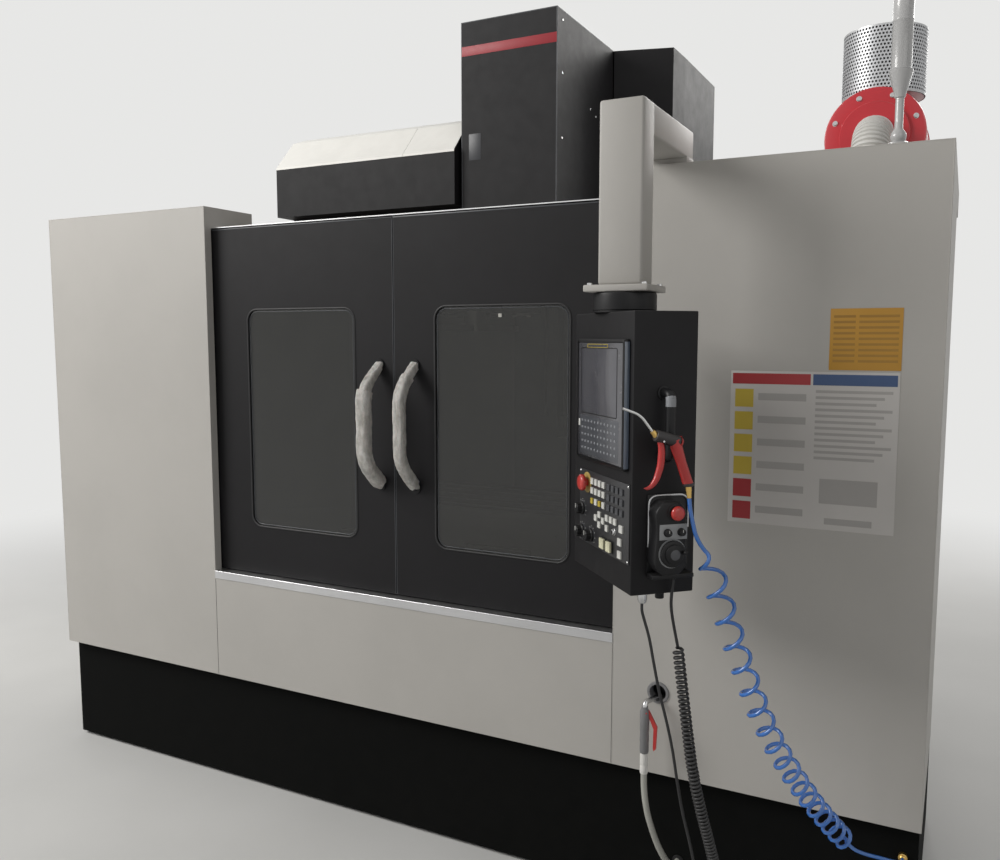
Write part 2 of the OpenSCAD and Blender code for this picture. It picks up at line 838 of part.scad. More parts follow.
// Bent bar handle with its foam wrap, at the given distance from the seam
module handle(x) {
    out = door_y - handle_out;
    neck = 14;
    top = [x, door_y, handle_z1];
    bend_top = [x, out, grip_z1];
    bend_low = [x, out, grip_z0];
    low = [x, door_y, handle_z0];
    difference() {
        union() {
            rod(top, bend_top, handle_r);
            rod(low, bend_low, handle_r);
            rod(top + neck * unit(bend_top - top), bend_top, wrap_r);
            rod(low + neck * unit(bend_low - low), bend_low, wrap_r);
            rod(bend_low, bend_top, wrap_r);
            translate(bend_top)
                sphere(r = wrap_r + 0.6);
            translate(bend_low)
                sphere(r = wrap_r + 0.6);
            disc_along_y([door_y - 6, door_y], x, handle_z1, handle_r + 5);
            disc_along_y([door_y - 6, door_y], x, handle_z0, handle_r + 5);
        }
        block([x - 60, x + 60], [door_y, door_y + 60],
            [handle_z0 - 60, handle_z1 + 60]);
    }
}

module left_door() {
    color("#26282b")
        mirror([1, 0, 0])
            door_half();
}

module left_window() {
    color([0.35, 0.38, 0.38, 0.5])
        mirror([1, 0, 0])
            pane();
}

module left_handle() {
    color("#c9c5bb")
        handle(-handle_xl);
}

module right_door() {
    color("#26282b")
        door_half();
}

module right_window() {
    color([0.35, 0.38, 0.38, 0.5])
        pane();
}

module right_handle() {
    color("#c9c5bb")
        handle(handle_xr);
}

// Column, saddle, table and head

module column() {
    way_x = 150;
    color("slategray") {
        difference() {
            union() {
                block([-column_half_w, column_half_w], [column_y0, column_y1],
                    [bed_z, column_z1]);
                block([-way_half_w, way_half_w], [way_y, column_y0],
                    [bed_z, column_z1]);
                mirrored()
                    block([way_x - rail_w / 2, way_x + rail_w / 2],
                        [way_y - rail_h, way_y],
                        [1250, column_z1 - 10]);
            }
            // Channel for the screw that drives the head
            block([-80, 80], [way_y - 1, way_y + 75], [1150, column_z1 + 1]);
            // Cored rear of the casting
            block([-column_half_w + 70, column_half_w - 70],
                [way_y + 160, column_y1 + 1], [bed_z + 100, column_z1 - 80]);
        }
        for (z = [1210, column_z1 - 60])
            difference() {
                block([-55, 55], [way_y - 28, way_y + 75], [z, z + 40]);
                disc_along_z([z - 1, z + 41], 0, z_screw_y,
                    screw_r + screw_fit);
            }
    }
}

module column_cover() {
    nose = [cover_half_w + 3, cover_y1 + 5];
    shoulder = [column_cover_half_w - 4, 1492];
    wing = [column_cover_half_w, 1652];
    rear = [column_cover_half_w, column_y1 + 20];
    z0 = mid_roof_z + 72;
    color("#2a2c2f") {
        translate([0, 0, z0])
            linear_extrude(column_cover_z1 - z0)
                mirrored()
                    polygon([nose, shoulder, wing, rear,
                        rear - [sheet, 0], wing - [sheet, 0],
                        shoulder + [-sheet, sheet / 2], nose + [0, sheet]]);
        // Rear wall and lid
        block([-column_cover_half_w + sheet, column_cover_half_w - sheet],
            [column_y1 + 20 - sheet, column_y1 + 20], [z0, column_cover_z1]);
        translate([0, 0, column_cover_z1])
            linear_extrude(sheet)
                mirrored()
                    polygon([[0, nose[1]], nose, shoulder, wing, rear,
                        [0, rear[1]]]);
        // Brackets on the column's sides
        mirrored()
            block([column_half_w, column_cover_half_w - sheet], [1800, 1900],
                [2300, 2340]);
    }
}

module y_screw() {
    color("silver")
        disc_along_y([bed_y0 + 96, way_y - 14], 0, y_screw_z, screw_r);
}

module saddle() {
    bottom = bed_z + rail_h + 12;
    way_x = 330;
    rail_y = 180;
    y = [spindle_y - saddle_half_d, spindle_y + saddle_half_d];
    color("dimgray") {
        difference() {
            union() {
                block([-saddle_half_l, saddle_half_l], y, [bottom, saddle_z]);
                // Carriages round the bed's rails
                for (x = [-way_x, way_x], cy = [y[0] + 70, y[1] - 70])
                    block([x - 50, x + 50], [cy - 70, cy + 70],
                        [bed_z + 2, bottom]);
                // Housing of the drive nut
                block([-60, 60], [spindle_y - 60, spindle_y + 60],
                    [bed_z - 48, bottom]);
                // Rails for the table
                for (dy = [-rail_y, rail_y])
                    block([-saddle_half_l, saddle_half_l],
                        [spindle_y + dy - rail_w / 2, spindle_y + dy + rail_w / 2],
                        [saddle_z, saddle_z + rail_h]);
                // Bearing blocks of the table's screw
                for (x = [-saddle_half_l + 10, saddle_half_l - 50])
                    block([x, x + 40], [spindle_y - 50, spindle_y + 50],
                        [saddle_z, x_screw_z + 32]);
                // Motor of the table's screw
                block([saddle_half_l - 2, saddle_half_l + 160],
                    [spindle_y - 55, spindle_y + 55],
                    [saddle_z - 40, saddle_z + 70]);
            }
            for (x = [-way_x, way_x])
                block([x - rail_w / 2 - rail_gap, x + rail_w / 2 + rail_gap],
                    [y[0] - 1, y[1] + 1],
                    [bed_z, bed_z + rail_h + rail_gap]);
            disc_along_y([spindle_y - 61, spindle_y + 61], 0, y_screw_z,
                screw_r + 1);
            disc_along_x([-saddle_half_l, saddle_half_l - 2], spindle_y,
                x_screw_z, screw_r + screw_fit);
            // Pockets that lighten the casting
            for (x = [-600, 600])
                block([x - 130, x + 130], [y[0] + 60, y[1] - 60],
                    [bottom - 1, bottom + 90]);
        }
    }
}

module x_screw() {
    color("silver")
        disc_along_x([-saddle_half_l + 12, saddle_half_l - 12], spindle_y,
            x_screw_z, screw_r);
}

module table() {
    bottom = saddle_z + rail_h + 12;
    rail_y = 180;
    half_l = table_l / 2;
    half_d = table_d / 2;
    plate_z = table_z - table_t;
    neck_h = 30;
    base_h = 14;
    color("gray")
    difference() {
        union() {
            block([-half_l, half_l], [spindle_y - half_d, spindle_y + half_d],
                [plate_z, table_z]);
            block([-half_l + 120, half_l - 120],
                [spindle_y - half_d + 30, spindle_y + half_d - 30],
                [bottom, plate_z]);
            for (x = [-220, 220], dy = [-rail_y, rail_y])
                block([x - 70, x + 70],
                    [spindle_y + dy - 42, spindle_y + dy + 42],
                    [saddle_z + 2, bottom]);
            // Housing of the drive nut
            block([-70, 70], [spindle_y - 45, spindle_y + 45],
                [saddle_z + 2, bottom]);
        }
        for (dy = [-rail_y, rail_y])
            block([-half_l, half_l],
                [spindle_y + dy - rail_w / 2 - rail_gap,
                 spindle_y + dy + rail_w / 2 + rail_gap],
                [saddle_z, saddle_z + rail_h + rail_gap]);
        // Channel over the screw and its bearing blocks
        block([-half_l, -70], [spindle_y - 60, spindle_y + 60],
            [bottom - 1, plate_z - 20]);
        block([70, half_l], [spindle_y - 60, spindle_y + 60],
            [bottom - 1, plate_z - 20]);
        disc_along_x([-71, 71], spindle_y, x_screw_z, screw_r + 1);
        for (i = [-2 : 2]) {
            block([-half_l - 1, half_l + 1],
                [spindle_y + i * slot_pitch - slot_w / 2,
                 spindle_y + i * slot_pitch + slot_w / 2],
                [table_z - neck_h, table_z + 1]);
            block([-half_l - 1, half_l + 1],
                [spindle_y + i * slot_pitch - slot_w / 2 - 6,
                 spindle_y + i * slot_pitch + slot_w / 2 + 6],
                [table_z - neck_h, table_z - neck_h + base_h]);
        }
    }
}

module head() {
    way_x = 150;
    plate_y = way_y - rail_h - 10;
    z = [nose_z + 150, nose_z + 750];
    color("gainsboro")
    difference() {
        union() {
            block([-head_half_w, head_half_w], [head_y0, plate_y - 60], z);
            block([-head_half_w - 20, head_half_w + 20],
                [plate_y - 60, plate_y], [z[0] + 20, z[1] + 30]);
            // Round nose that holds the spindle
            disc_along_z([nose_z + 60, z[0]], 0, spindle_y, 95);
            disc_along_z([nose_z + 8, nose_z + 60], 0, spindle_y, 78);
            // Carriages round the column's rails
            for (x = [-way_x, way_x], cz = [z[0] + 110, z[1] - 60])
                block([x - 38, x + 38], [plate_y, way_y - 2],
                    [cz - 70, cz + 70]);
            // Housing of the drive nut
            block([-50, 50], [plate_y, way_y + 48], [z[0] + 240, z[0] + 340]);
            // Spindle motor
            disc_along_z([z[1], z[1] + 260], 0, spindle_y + 40, 110);
            // Pads that carry the sheet cover
            block([-cover_half_w + sheet, cover_half_w - sheet], [1000, 1080],
                [z[1] - 120, z[1] - 60]);
        }
        for (x = [-way_x, way_x])
            block([x - rail_w / 2 - rail_gap, x + rail_w / 2 + rail_gap],
                [way_y - rail_h - rail_gap, way_y], [z[0], z[1] + 40]);
        disc_along_z([z[0], z[0] + 400], 0, z_screw_y, screw_r + 1);
        disc_along_z([nose_z, nose_z + 420], 0, spindle_y,
            spindle_r + spindle_fit);
    }
}

module z_screw() {
    color("silver")
        disc_along_z([1214, column_z1 - 22], 0, z_screw_y, screw_r);
}

module head_cover() {
    z0 = nose_z + 300;
    color("#2a2c2f")
    difference() {
        block([-cover_half_w, cover_half_w], [cover_y0, cover_y1],
            [z0, cover_z1]);
        block([-cover_half_w + sheet, cover_half_w - sheet],
            [cover_y0 + sheet, cover_y1 + 1], [z0 - 1, cover_z1 - sheet]);
    }
}

module spindle() {
    bore_r = 9;
    key_z = nose_z - 6;
    color("silver") {
        translate([0, spindle_y, nose_z])
            rotate_extrude()
                polygon([[taper_r, 0], [spindle_r, 0], [spindle_r, 400],
                    [bore_r, 400], [bore_r, taper_l],
                    [taper_r - taper_l * 7 / 48, taper_l]]);
        // Drive keys on the face
        for (s = [-1, 1])
            block(s > 0 ? [taper_r + 2, spindle_r - 4]
                        : [-spindle_r + 4, -taper_r - 2],
                [spindle_y - 8, spindle_y + 8], [key_z, nose_z]);
    }
}

module axis_motors() {
    color("black") {
        // Motor of the saddle's screw, on the bed's front
        block([-60, 60], [bed_y0 - 130, bed_y0], [bed_z - 130, bed_z - 10]);
        // Motor of the head's screw, on the column
        block([-65, 65], [z_screw_y - 65, z_screw_y + 65],
            [column_z1, column_z1 + 200]);
        disc_along_z([column_z1 + 200, column_z1 + 240], 0, z_screw_y, 50);
    }
}

// Tool changer

module changer_frame() {
    gear_y = [arm_pivot[1] - 80, way_y];
    gear_x = [arm_pivot[0] - 70, arm_pivot[0] + 70];
    plate_x = [disc_x1 + 68, disc_x1 + 98];
    color("slategray") {
        // Cam box over the change arm
        difference() {
            block(gear_x, gear_y, [arm_z + 60, arm_z + 290]);
            disc_along_z([arm_z + 50, arm_z + 300], arm_pivot[0],
                arm_pivot[1], sleeve_r + arm_fit);
        }
        disc_along_z([arm_z + 290, arm_z + 312], arm_pivot[0],
            arm_pivot[1] + 140, 45);
        // Bracket that carries the tool disc
        block(plate_x, [disc_y - 80, disc_y + 120],
            [disc_z - 100, disc_z + 100]);
        block(plate_x, [disc_y + 120, column_y0 + 80],
            [disc_z - 100, disc_z]);
        block([plate_x[1], -column_half_w], [column_y0 + 10, column_y0 + 80],
            [disc_z - 100, disc_z]);
        disc_along_x([disc_x0 - 5, plate_x[0]], disc_y, disc_z, disc_shaft_r);
        disc_along_x([disc_x0 - 10, disc_x0 - 5], disc_y, disc_z,
            disc_shaft_r + 15);
    }
    // Motor over the cam box
    color("black")
        block([arm_pivot[0] - 50, arm_pivot[0] + 50],
            [arm_pivot[1] + 230, arm_pivot[1] + 330],
            [arm_z + 290, arm_z + 318]);
}

module arm_sleeve() {
    color("silver")
    difference() {
        disc_along_z([arm_z + 40, arm_z + 260], arm_pivot[0], arm_pivot[1],
            sleeve_r);
        disc_along_z([arm_z + 39, arm_z + arm_shaft_l + 1], arm_pivot[0],
            arm_pivot[1], arm_shaft_r + arm_fit);
    }
}

// Double-ended arm, parked along Y
module change_arm() {
    grip_r = 44;
    mouth_r = 31.8;
    color("gray")
    difference() {
        translate([arm_pivot[0], arm_pivot[1], arm_z - arm_t])
            union() {
                cylinder(h = arm_t, r = 75);
                translate([-34, -arm_len + 30, 0])
                    cube([68, 2 * arm_len - 60, arm_t]);
                for (s = [-1, 1])
                    translate([0, s * arm_len, 0])
                        cylinder(h = arm_t, r = grip_r);
            }
        for (s = [-1, 1])
            translate([arm_pivot[0], arm_pivot[1] + s * arm_len, arm_z - arm_t - 1]) {
                cylinder(h = arm_t + 2, r = mouth_r);
                translate([s > 0 ? 0 : -60, -mouth_r + 4, 0])
                    cube([60, 2 * mouth_r - 8, arm_t + 2]);
            }
    }
    color("silver")
        disc_along_z([arm_z, arm_z + arm_shaft_l], arm_pivot[0], arm_pivot[1],
            arm_shaft_r);
    color("silver")
        disc_along_z([arm_z, arm_z + 38], arm_pivot[0], arm_pivot[1],
            sleeve_r);
}

// Side profile of the magazine cover, drawn in by the sheet's thickness
module mag_profile(t, rear, z_low) {
    polygon([[mag_y + t, mag_front_z0 + t], [mag_y + t, mag_front_z1 - t / 2],
        [mag_y + 116 + t / 2, 2470 - t], [mag_y + 200, mag_top_z - t],
        [rear - t, mag_top_z - t], [rear - t, z_low],
        [wall_y, z_low], [wall_y, mid_roof_z], [mag_y + 110 + t, mid_roof_z],
        [mag_y + 110 + t, mag_front_z0 + t]]);
}

module magazine_cover() {
    split_x = -column_cover_half_w - 9;
    rear_a = wall_y + 88;
    rear_b = cover_y1;
    color("#2a2c2f")
    difference() {
        union() {
            along_x([mag_x0, split_x])
                mag_profile(0, rear_a, disc_z - disc_r - 20);
            along_x([split_x, mag_x1])
                intersection() {
                    mag_profile(0, rear_a, mid_roof_z);
                    translate([mag_y - 10, mid_roof_z])
                        square([rear_b - mag_y + 10, 1000]);
                }
        }
        along_x([mag_x0 + sheet, split_x - sheet])
            mag_profile(sheet, rear_a, disc_z - disc_r - 30);
        along_x([split_x - sheet - 1, mag_x1 - sheet])
            intersection() {
                mag_profile(sheet, rear_a, mid_roof_z - 1);
                translate([mag_y - 10, mid_roof_z - 1])
                    square([rear_b - sheet - mag_y + 10, 1000]);
            }
        // Way through for the disc's bracket
        block([disc_x1 + 60, disc_x1 + 106], [rear_b - 10, rear_b + 1],
            [mid_roof_z - 1, disc_z + 8]);
        block([mag_x0 - 1, split_x + 1], [wall_y - 1, rear_a - sheet],
            [disc_z - disc_r - 31, disc_z - disc_r - 19]);
    }
}

// One pot, lying along X with its mouth to the left
module pot() {
    difference() {
        disc_along_x([pot_x - pot_mouth, pot_rear_x], disc_y,
            disc_z - pot_pitch_r, pot_r);
        disc_along_x([pot_x - pot_mouth - 1, pot_rear_x - 12], disc_y,
            disc_z - pot_pitch_r, taper_r);
    }
}

module tool_carousel() {
    pin_z = disc_z - pot_pitch_r;
    color("silver")
    difference() {
        union() {
            disc_along_x([disc_x0, disc_x1], disc_y, disc_z, disc_r);
            disc_along_x([disc_x1, disc_x1 + 60], disc_y, disc_z, hub_r);
            // A lug between each two pots
            for (i = [0 : pots - 1])
                translate([0, disc_y, disc_z])
                    rotate([(i + 0.5) * 360 / pots, 0, 0])
                        block([pot_x - 14, disc_x0], [-lug_t / 2, lug_t / 2],
                            [-pot_pitch_r - 18, -pot_pitch_r + 24]);
        }
        disc_along_x([disc_x0 - 1, disc_x1 + 61], disc_y, disc_z,
            disc_shaft_r + disc_fit);
        disc_along_y([disc_y - 60, disc_y + 60], pot_x, pin_z,
            pot_pin_r + 0.1);
    }
    color("dimgray")
    for (i = [1 : pots - 1])
        translate([0, disc_y, disc_z])
            rotate([i * 360 / pots, 0, 0])
                translate([0, -disc_y, -disc_z]) {
                    pot();
                    disc_along_y([disc_y - pot_span / 2, disc_y + pot_span / 2],
                        pot_x, pin_z, pot_pin_r);
                }
}

module change_pot() {
    color("dimgray")
    difference() {
        union() {
            pot();
            disc_along_y([disc_y - pot_span / 2 - 2, disc_y + pot_span / 2 + 2],
                pot_x, disc_z - pot_pitch_r, pot_pin_r);
        }
        disc_along_x([pot_x - pot_mouth - 1, pot_rear_x - 12], disc_y,
            disc_z - pot_pitch_r, taper_r);
    }
}

// Pendant

module pendant_arm() {
    y0 = -arm_front - post_d / 2;
    foot = 72;
    color("#d8d8d8") {
        block([arm_x - post_w / 2, arm_x + post_w / 2], [y0, y0 + post_d],
            [post_z0, beam_z1]);
        block([arm_x - post_w / 2, arm_x + post_w / 2], [y0 + post_d, foot],
            [beam_z0, beam_z1]);
        // Foot on the roof
        block([arm_x - post_w / 2, arm_x + post_w / 2], [8, foot],
            [roof_z, beam_z0]);
        // Flange over the swivel
        difference() {
            block([arm_x - 78, arm_x + 78], [-arm_front - 70, -arm_front + 70],
                [post_z0 - 16, post_z0]);
            disc_along_z([post_z0 - 17, post_z0 - 4], arm_x, -arm_front,
                swivel_r + swivel_fit);
        }
    }
}

// Moves its children to the pendant box's centre, turned as the box is
module at_pendant() {
    translate([arm_x, -arm_front, 0])
        rotate([0, 0, -pendant_turn])
            translate([pendant_dx, pendant_dy, 0])
                children();
}

module pendant_box() {
    hw = pendant_w / 2;
    hd = pendant_d / 2;
    collar_z1 = post_z0 - 16 - collar_gap;
    color("#2b2d30") {
        at_pendant() {
            difference() {
                block([-hw, hw], [-hd, hd], [pendant_z0, pendant_z1]);
                block([-hw + sheet, hw - sheet], [-hd + sheet, hd + 1],
                    [pendant_z0 + sheet, pendant_z1 - sheet]);
                // Holes behind the panel's button, knobs and stop
                for (p = [estop_at, speed_at, mode_at, feed_at, start_at, hold_at])
                    disc_along_y([-hd - 1, -hd + sheet + 1], p[0], p[1], 12);
            }
            // Rear cover
            block([-hw + sheet, hw - sheet], [hd - sheet, hd],
                [pendant_z0 + sheet, pendant_z1 - sheet]);
            // Connector under the box
            disc_along_z([pendant_z0 - 36, pendant_z0],
                pulse_plug_x, pulse_plug_y, 11);
            disc_along_z([pendant_z0 - 14, pendant_z0],
                pulse_plug_x, pulse_plug_y, 14);
        }
        // Collar of the swivel
        disc_along_z([pendant_z1, collar_z1], arm_x, -arm_front, collar_r);
        disc_along_z([collar_z1, collar_z1 + 11], arm_x, -arm_front, swivel_r);
    }
    // Grab handle on the right side
    color("#202224")
    at_pendant() {
        for (z = [1350, 1490])
            disc_along_x([hw, hw + grab_out], grab_y, z, grab_r);
        disc_along_z([1350, 1490], hw + grab_out, grab_y, grab_r);
        for (z = [1350, 1490])
            translate([hw + grab_out, grab_y, z])
                sphere(r = grab_r);
    }
}

module display_unit() {
    front = -pendant_d / 2 - display_proud;
    color("#1f2123")
    at_pendant()
    difference() {
        round_plate(display_x, [front, -pendant_d / 2], display_zs, 6);
        block(screen_x, [front - 1, front + 2], screen_zs);
    }
}

module panel_keys() {
    front = -pendant_d / 2 - panel_proud;
    at_pendant() {
        color("#2e3033")
        difference() {
            union() {
                round_plate(panel_x, [front, -pendant_d / 2], panel_zs, 5);
                // Rings under the emergency stop and the knobs
                disc_along_y([front - 2, front], estop_at[0], estop_at[1], 25.5);
                for (p = [speed_at, mode_at, feed_at])
                    disc_along_y([front - 1, front], p[0], p[1], knob_r + 3);
                // Lock switch
                disc_along_y([front - 9, front], 86, 1168, 9);
            }
            disc_along_y([front - 3, -pendant_d / 2 + 1], estop_at[0],
                estop_at[1], 9 + stem_gap);
            for (p = [speed_at, mode_at, feed_at])
                disc_along_y([front - 3, -pendant_d / 2 + 1], p[0], p[1],
                    4 + stem_gap);
            for (p = [start_at, hold_at])
                disc_along_y([front - 3, -pendant_d / 2 + 1], p[0], p[1],
                    8 + stem_gap);
        }
        color("#e8e8e4")
        for (p = white_keys)
            block([p[0] - key_w / 2, p[0] + key_w / 2], [front - key_h, front],
                [p[1] - key_w / 2, p[1] + key_w / 2]);
        color("#55585c")
        for (p = dark_keys)
            block([p[0] - key_w / 2, p[0] + key_w / 2], [front - key_h, front],
                [p[1] - key_w / 2, p[1] + key_w / 2]);
    }
}

// Mushroom head on a stem, at a place on the operator panel
module pendant_estop() {
    front = -pendant_d / 2 - panel_proud - 2;
    y1 = front - estop_travel - 2;
    color("#c8201c")
    at_pendant() {
        disc_along_y([y1, -pendant_d / 2 + 2], estop_at[0], estop_at[1], 9);
        disc_along_y([y1 - 9, y1], estop_at[0], estop_at[1], estop_r);
        disc_along_y([y1 - 13, y1 - 9], estop_at[0], estop_at[1], estop_r - 4);
    }
}

module knob(p) {
    front = -pendant_d / 2 - panel_proud - 1.3;
    color("#1c1d1f")
    at_pendant() {
        disc_along_y([front, -pendant_d / 2 + 2], p[0], p[1], 4);
        disc_along_y([front - 5, front], p[0], p[1], knob_r);
        disc_along_y([front - knob_h, front - 5], p[0], p[1], knob_r - 3);
        // Pointer ridge
        block([p[0] - 2.5, p[0] + 2.5], [front - knob_h - 2, front - 5],
            [p[1] - knob_r + 4, p[1] + knob_r - 0.5]);
    }
}

module feed_knob() {
    knob(feed_at);
}

module speed_knob() {
    knob(speed_at);
}

module mode_switch() {
    knob(mode_at);
}

module square_button(p) {
    front = -pendant_d / 2 - panel_proud;
    travel = 3;
    h = 9;
    color("#e6dfc8")
    at_pendant() {
        disc_along_y([front - travel - 0.5, -pendant_d / 2 + 2], p[0], p[1], 8);
        block([p[0] - button_w / 2, p[0] + button_w / 2],
            [front - h, front - travel - 0.5],
            [p[1] - button_w / 2, p[1] + button_w / 2]);
    }
}

module start_button() {
    square_button(start_at);
}

module hold_button() {
    square_button(hold_at);
}

// Handwheel unit in its holder, on the pendant's right side
module pulse_unit() {
    hw = pendant_w / 2;
    face = hw + 4 + pulse_t;
    color("#232527")
    at_pendant() {
        // Holder plate and its lower pocket
        block([hw, hw + 4], [-41, 60], [1085, 1266]);
        difference() {
            block([hw + 4, hw + 4 + 30], [pulse_y[0], 60], [1082, 1092]);
            block([hw + 10, hw + 30], [5, 30], [1080, 1093]);
        }
        difference() {
            block([hw + 4, face], pulse_y, pulse_z);
            disc_along_x([face - 20, face + 1], pulse_stop_at[0],
                pulse_stop_at[1], 7 + stem_gap);
            disc_along_x([face - 12, face + 1], pulse_dial_at[0],
                pulse_dial_at[1], 8.05);
        }
        // Selector knobs on the grey plate
        block([face, face + 1], [-32, 34], [1173, 1207]);
        for (y = [-14, 19])
            disc_along_x([face + 1, face + 12], y, 1189, 9);
        // Lead's strain relief
        disc_along_z([1078, 1092], hw + 22, 17, 5);
    }
}

module pulse_dial() {
    face = pendant_w / 2 + 4 + pulse_t;
    color("#18191b")
    at_pendant() {
        disc_along_x([face - 11, face + 0.5], pulse_dial_at[0],
            pulse_dial_at[1], 8);
        disc_along_x([face + 0.5, face + 10], pulse_dial_at[0],
            pulse_dial_at[1], pulse_dial_r);
        disc_along_x([face + 10, face + 16], pulse_dial_at[0],
            pulse_dial_at[1], pulse_dial_r - 8);
        // Crank pin near the rim
        disc_along_x([face + 10, face + 26], pulse_dial_at[0] + 21,
            pulse_dial_at[1] + 5, 5);
    }
}

module pulse_estop() {
    face = pendant_w / 2 + 4 + pulse_t;
    color("#c8201c")
    at_pendant() {
        disc_along_x([face - 10, face + 7], pulse_stop_at[0],
            pulse_stop_at[1], 7);
        disc_along_x([face + 7, face + 15], pulse_stop_at[0],
            pulse_stop_at[1], 16);
        disc_along_x([face + 15, face + 18], pulse_stop_at[0],
            pulse_stop_at[1], 12);
    }
}

// Air gun hung on the grab handle, drawn in the pendant's local Y and Z
module air_gun() {
    x = gun_plane;
    head_a = [x, -54, 1404];
    head_b = [x, 2, 1388];
    color("#3c4247")
    at_pendant() {
        difference() {
            union() {
                rod(head_a, head_b, 13);
                rod([x, -8, 1391], [x, 26, 1295], 11.5);
            }
            // Slot and pin hole for the trigger
            block([x - 3.5, x + 3.5], [-70, -24], [1340, 1412]);
            disc_along_x([x - 20, x + 20], gun_pin[0], gun_pin[1], 2);
        }
        // Hook that bears on the grab handle
        block([pendant_w / 2 + grab_out + grab_r + 0.2, x - 8],
            [grab_y - 8, grab_y + 8], [1384, 1400]);
    }
    color("silver")
    at_pendant() {
        rod([x, -54, 1404], [x, -89, 1448], 4);
        translate([x, -89, 1448])
            sphere(r = 4.8);
        rod([x, -89, 1448], [x, -130, 1463], 3.5);
    }
    color("goldenrod")
    at_pendant()
        rod([x, 26, 1295], [x, 29, 1266], 7);
}

module gun_trigger() {
    x = gun_plane;
    color("#b5201d")
    at_pendant() {
        along_x([x - 3.2, x + 3.2])
            polygon([[-36, 1386], [-43, 1345], [-61, 1292], [-64, 1286],
                [-71, 1288], [-68, 1297], [-51, 1347], [-45, 1390]]);
        disc_along_x([x - 3.2, x + 3.2], gun_pin[0], gun_pin[1], 7);
        disc_along_x([x - 12, x + 12], gun_pin[0], gun_pin[1], 1.9);
    }
}

// Wash gun, hung by its nozzle in the port on the right panel
module wash_gun() {
    bend = [wash_x, wash_y, 626];
    color("silver") {
        rod([885, 20, 619], bend, 7);
        translate(bend)
            sphere(r = 9);
        rod(bend, [wash_x, wash_y, 608], 9);
    }
    color("#8b8f92")
    difference() {
        rod([wash_x, wash_y, 484], [wash_x, wash_y, 608], 13);
        block([wash_x + 1, wash_x + 20], [wash_y - 4, wash_y + 4], [560, 615]);
        disc_along_y([wash_y - 20, wash_y + 20], wash_pin[0], wash_pin[1], 2);
    }
    color("white")
        rod([wash_x, wash_y, 425], [wash_x, wash_y, 484], 11);
}

module wash_trigger() {
    color("#b5201d") {
        translate([0, wash_y + 3.2, 0])
            rotate([90, 0, 0])
                linear_extrude(6.4)
                    translate([wash_x, 0])
                        polygon([[4.5, 604], [13, 604], [36, 562], [33, 500],
                            [27, 494], [25, 502], [26, 556]]);
        disc_along_y([wash_y - 3.2, wash_y + 3.2], wash_pin[0], wash_pin[1], 6);
        disc_along_y([wash_y - 12, wash_y + 12], wash_pin[0], wash_pin[1], 1.9);
    }
}

// Rear units

module electrical_cabinet() {
    color("#cfd1d2") {
        difference() {
            block(cabinet_x, cabinet_y, [cabinet_z0, cabinet_z1]);
            block([cabinet_x[0] + sheet, cabinet_x[1] - sheet],
                [cabinet_y[0] + sheet, cabinet_y[1] + 1],
                [cabinet_z0 + sheet, cabinet_z1 - sheet]);
        }
        // Brackets on the column
        for (z = [cabinet_z0 + 200, cabinet_z1 - 300])
            block([column_half_w, cabinet_x[0]],
                [cabinet_y[0] + 60, cabinet_y[0] + 160], [z, z + 60]);
        // Hinge pin holders
        for (z = [cabinet_z0 + 150, cabinet_z1 - 210])
            difference() {
                block([cabinet_x[1], cabinet_x[1] + 18],
                    [cabinet_y[1] - 18, cabinet_y[1] + 7.5], [z, z + 30]);
                disc_along_z([z - 1, z + 31], cabinet_x[1] + 9,
                    cabinet_y[1] + 2, 4.05);
            }
        // Mounting plate with its drives
        block([cabinet_x[0] + 40, cabinet_x[1] - 40],
            [cabinet_y[0] + sheet, cabinet_y[0] + 6],
            [cabinet_z0 + 60, cabinet_z1 - 60]);
    }
    color("#9a9da0")
    for (i = [0 : 3])
        block([cabinet_x[0] + 90 + i * drive_pitch,
                cabinet_x[0] + 30 + (i + 1) * drive_pitch],
            [cabinet_y[0] + 6, cabinet_y[0] + 220],
            [cabinet_z1 - 600, cabinet_z1 - 200]);
}

module cabinet_door() {
    gap = 1;
    y = [cabinet_y[1] + gap, cabinet_y[1] + gap + 2];
    color("#cfd1d2") {
        block([cabinet_x[0], cabinet_x[1] - 2], y,
            [cabinet_z0 + 2, cabinet_z1 - 2]);
        // Hinge leaves and pins
        for (z = [cabinet_z0 + 150, cabinet_z1 - 210]) {
            disc_along_z([z - 20, z + 40], cabinet_x[1] + 9,
                cabinet_y[1] + 2, 4);
            for (leaf = [[z - 20, z - 1], [z + 31, z + 50]])
                block([cabinet_x[1] - 30, cabinet_x[1] + 9],
                    [cabinet_y[1] + gap, cabinet_y[1] + gap + 4], leaf);
        }
        // Latch handle
        block([cabinet_x[0] + 40, cabinet_x[0] + 60], [y[1], y[1] + 14],
            [1250, 1370]);
    }
}

module coolant_tank() {
    x = [-rear_half_w + 20, -bed_half_w - 25];
    y = [wall_y + 12, 2240];
    z0 = 15;
    color("#b8bbbd") {
        difference() {
            block(x, y, [z0, tank_h]);
            block([x[0] + sheet, x[1] - sheet], [y[0] + sheet, y[1] - sheet],
                [z0 + sheet, tank_h + 1]);
        }
        // Cover plate, open at the front where the coolant comes back
        block(x, [y[0] + 150, y[1]], [tank_h, tank_h + sheet]);
        for (cx = [x[0] + 80, x[1] - 80], cy = [y[0] + 80, y[1] - 80])
            disc_along_z([0, z0], cx, cy, 25);
    }
    // Pump on the cover
    color("#33566f") {
        disc_along_z([tank_h + sheet, tank_h + 220], x[0] + 200, y[1] - 160, 75);
        disc_along_z([tank_h + 220, tank_h + 240], x[0] + 200, y[1] - 160, 60);
    }
}

// Roof units

